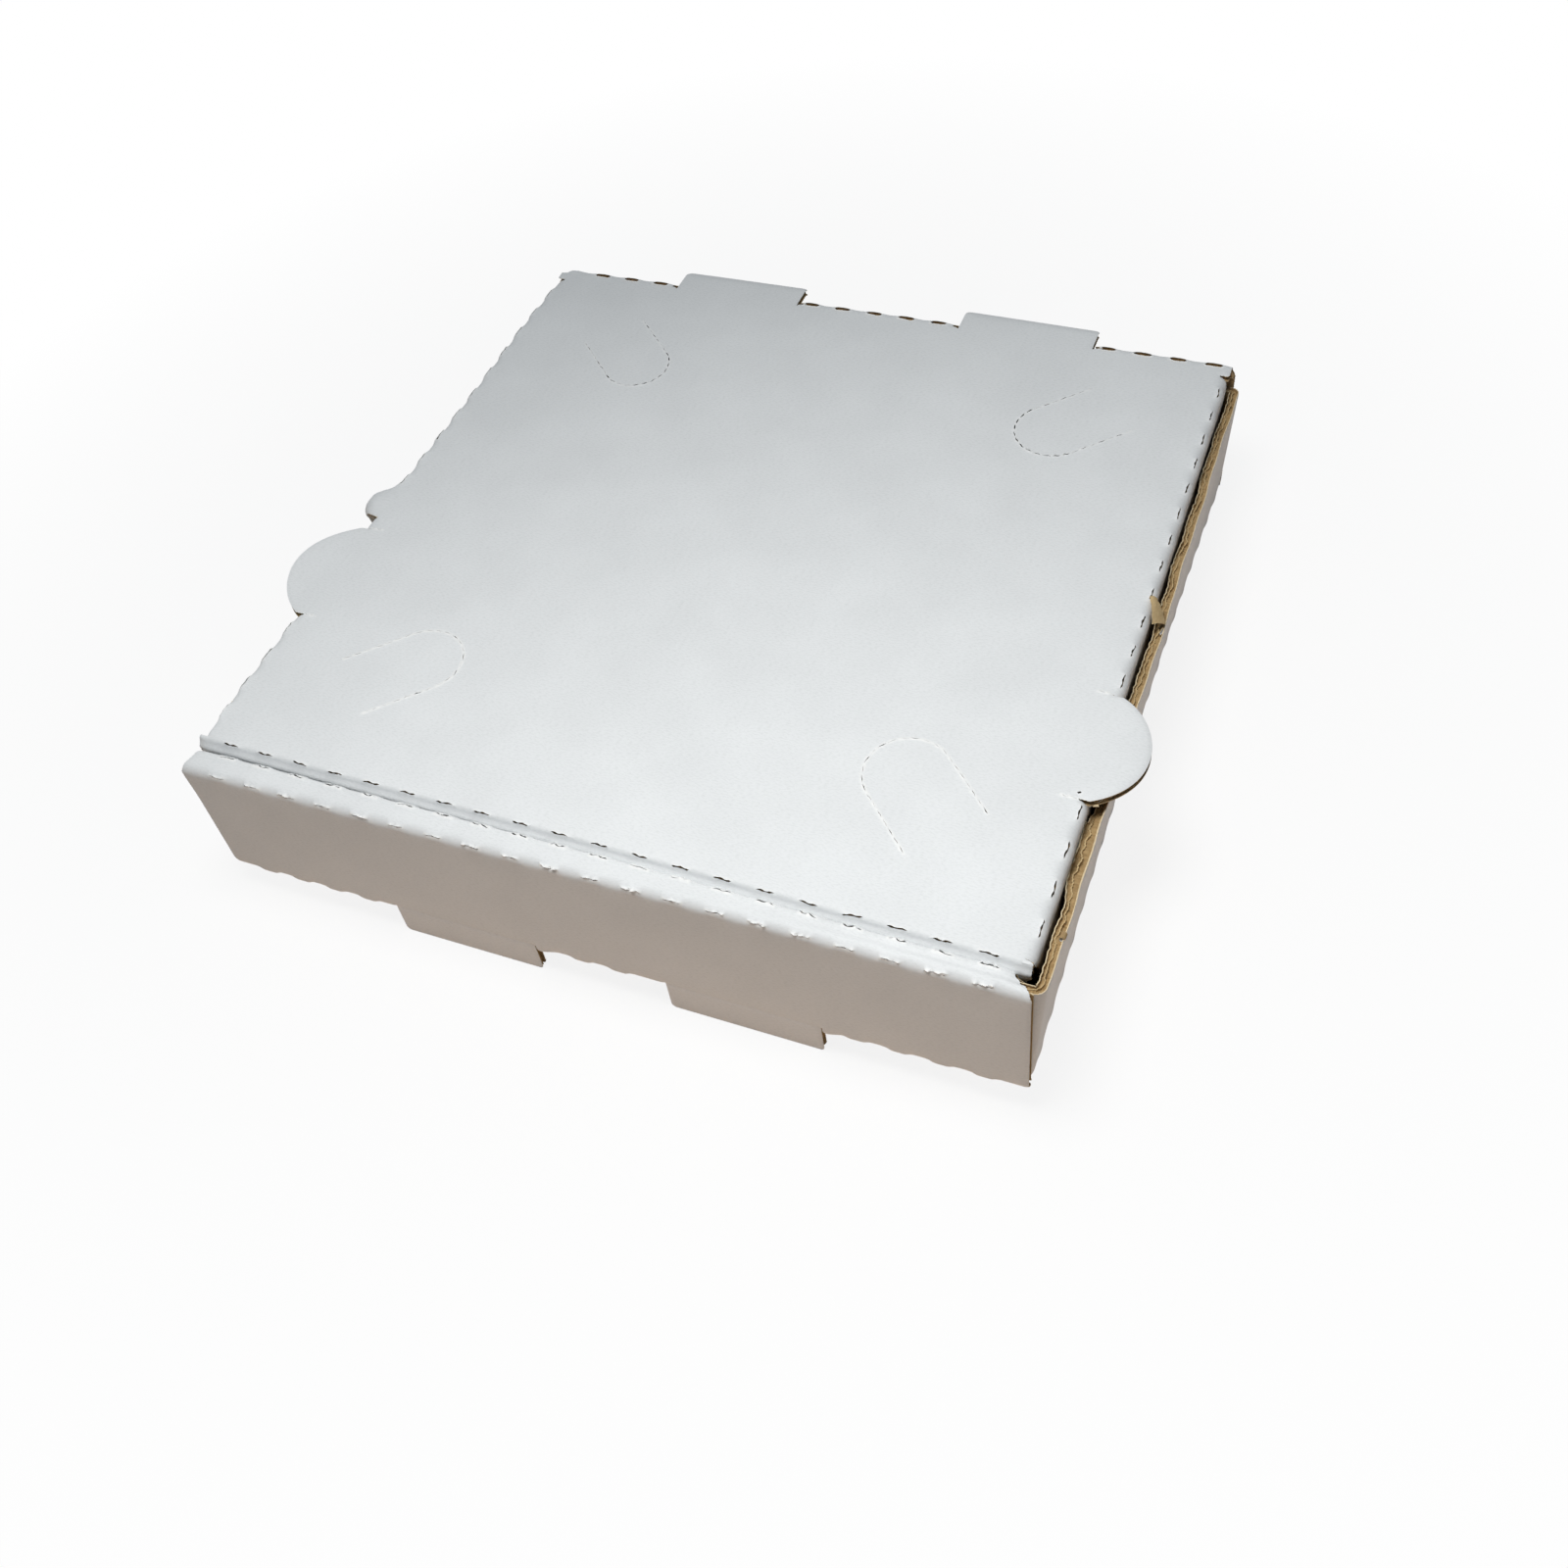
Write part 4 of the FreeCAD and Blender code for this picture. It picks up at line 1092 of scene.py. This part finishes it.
def white_floor():
    """A white floor that keeps a soft shadow near the box and runs out into plain white."""
    material = bpy.data.materials.new("floor_white")
    graph = Graph(material)
    where = graph.add("ShaderNodeTexCoord").outputs["Object"]
    far = graph.add("ShaderNodeVectorMath", (0, where), operation="LENGTH").outputs["Value"]
    reach = graph.add("ShaderNodeMapRange", ("Value", far), ("From Min", 0.15), ("From Max", 0.42),
                      ("To Min", 0.86), ("To Max", 1.0))
    paper = graph.add("ShaderNodeBsdfDiffuse", ("Color", (0.93, 0.93, 0.93, 1)))
    bounce = graph.add("ShaderNodeBsdfDiffuse", ("Color", (0.86, 0.65, 0.49, 1)))
    glow = graph.add("ShaderNodeEmission")
    seen = graph.add("ShaderNodeMixShader", (0, reach.outputs[0]), (1, paper.outputs[0]),
                     (2, glow.outputs[0]))
    graph.add("ShaderNodeOutputMaterial", (0, graph.by_ray(bounce, seen)))
    return material


SLOPE = math.atan2(-LOCK_TIP, REAR - FRONT)        # the box stands on its drop tabs and its rear edge
FLOOR_REACH = 6.0
floor_mesh = bpy.data.meshes.new("floor")
floor_corners = [(x * FLOOR_REACH, y * FLOOR_REACH, 0) for x, y in ((-1, -1), (1, -1), (1, 1), (-1, 1))]
floor_mesh.from_pydata(floor_corners, [], [(0, 1, 2, 3)])
floor_mesh.materials.append(white_floor())
floor = add_object("floor", floor_mesh)
floor.matrix_world = (Matrix.Translation((0, FRONT * MM, LOCK_TIP * MM)) @ Matrix.Rotation(SLOPE, 4, "X")
                      @ Matrix.Translation((0, -FRONT * MM, 0)))

world = bpy.data.worlds.new("world")
bpy.context.scene.world = world
backdrop = Graph(world)
sky = backdrop.add("ShaderNodeBackground", (0, (0.62, 0.82, 1.0, 1)), (1, 0.12))
white = backdrop.add("ShaderNodeBackground", (0, PLAIN_WHITE))
backdrop.add("ShaderNodeOutputWorld", (0, backdrop.by_ray(sky, white)))


def lamp(name, place, target, size, watts, colour):
    data = bpy.data.lights.new(name, "AREA")
    data.shape, data.size, data.energy, data.color = "DISK", size, watts, colour
    ob = add_object(name, data)
    place, target = Vector(place), Vector(target)
    turn = (target - place).to_track_quat("-Z", "Y").to_matrix().to_4x4()
    ob.matrix_world = Matrix.Translation(place) @ turn
    ob.visible_camera = False


lamp("key", (0.02, -0.16, 0.66), (0.32, -0.46, 0.05), 0.30, 4.3, (1.0, 0.985, 0.96))

FOCAL_PIXELS, IMAGE_PIXELS, SENSOR = 1630.9, 1600, 36.0
CENTRE_PIXEL = (810.0, 740.0)
EYE = Vector((0.1860, -0.3445, 0.4076))
TURN = (math.radians(41.10), math.radians(5.475), math.radians(21.041))
camera_data = bpy.data.cameras.new("camera")
camera = add_object("camera", camera_data)
camera_data.sensor_width = SENSOR
camera_data.lens = FOCAL_PIXELS / IMAGE_PIXELS * SENSOR
camera_data.shift_x = (IMAGE_PIXELS / 2 - CENTRE_PIXEL[0]) / IMAGE_PIXELS
camera_data.shift_y = (CENTRE_PIXEL[1] - IMAGE_PIXELS / 2) / IMAGE_PIXELS
camera_data.clip_start = 0.01
camera.location = EYE
camera.rotation_euler = TURN
bpy.context.scene.camera = camera
bpy.context.scene.view_settings.view_transform = "Standard"
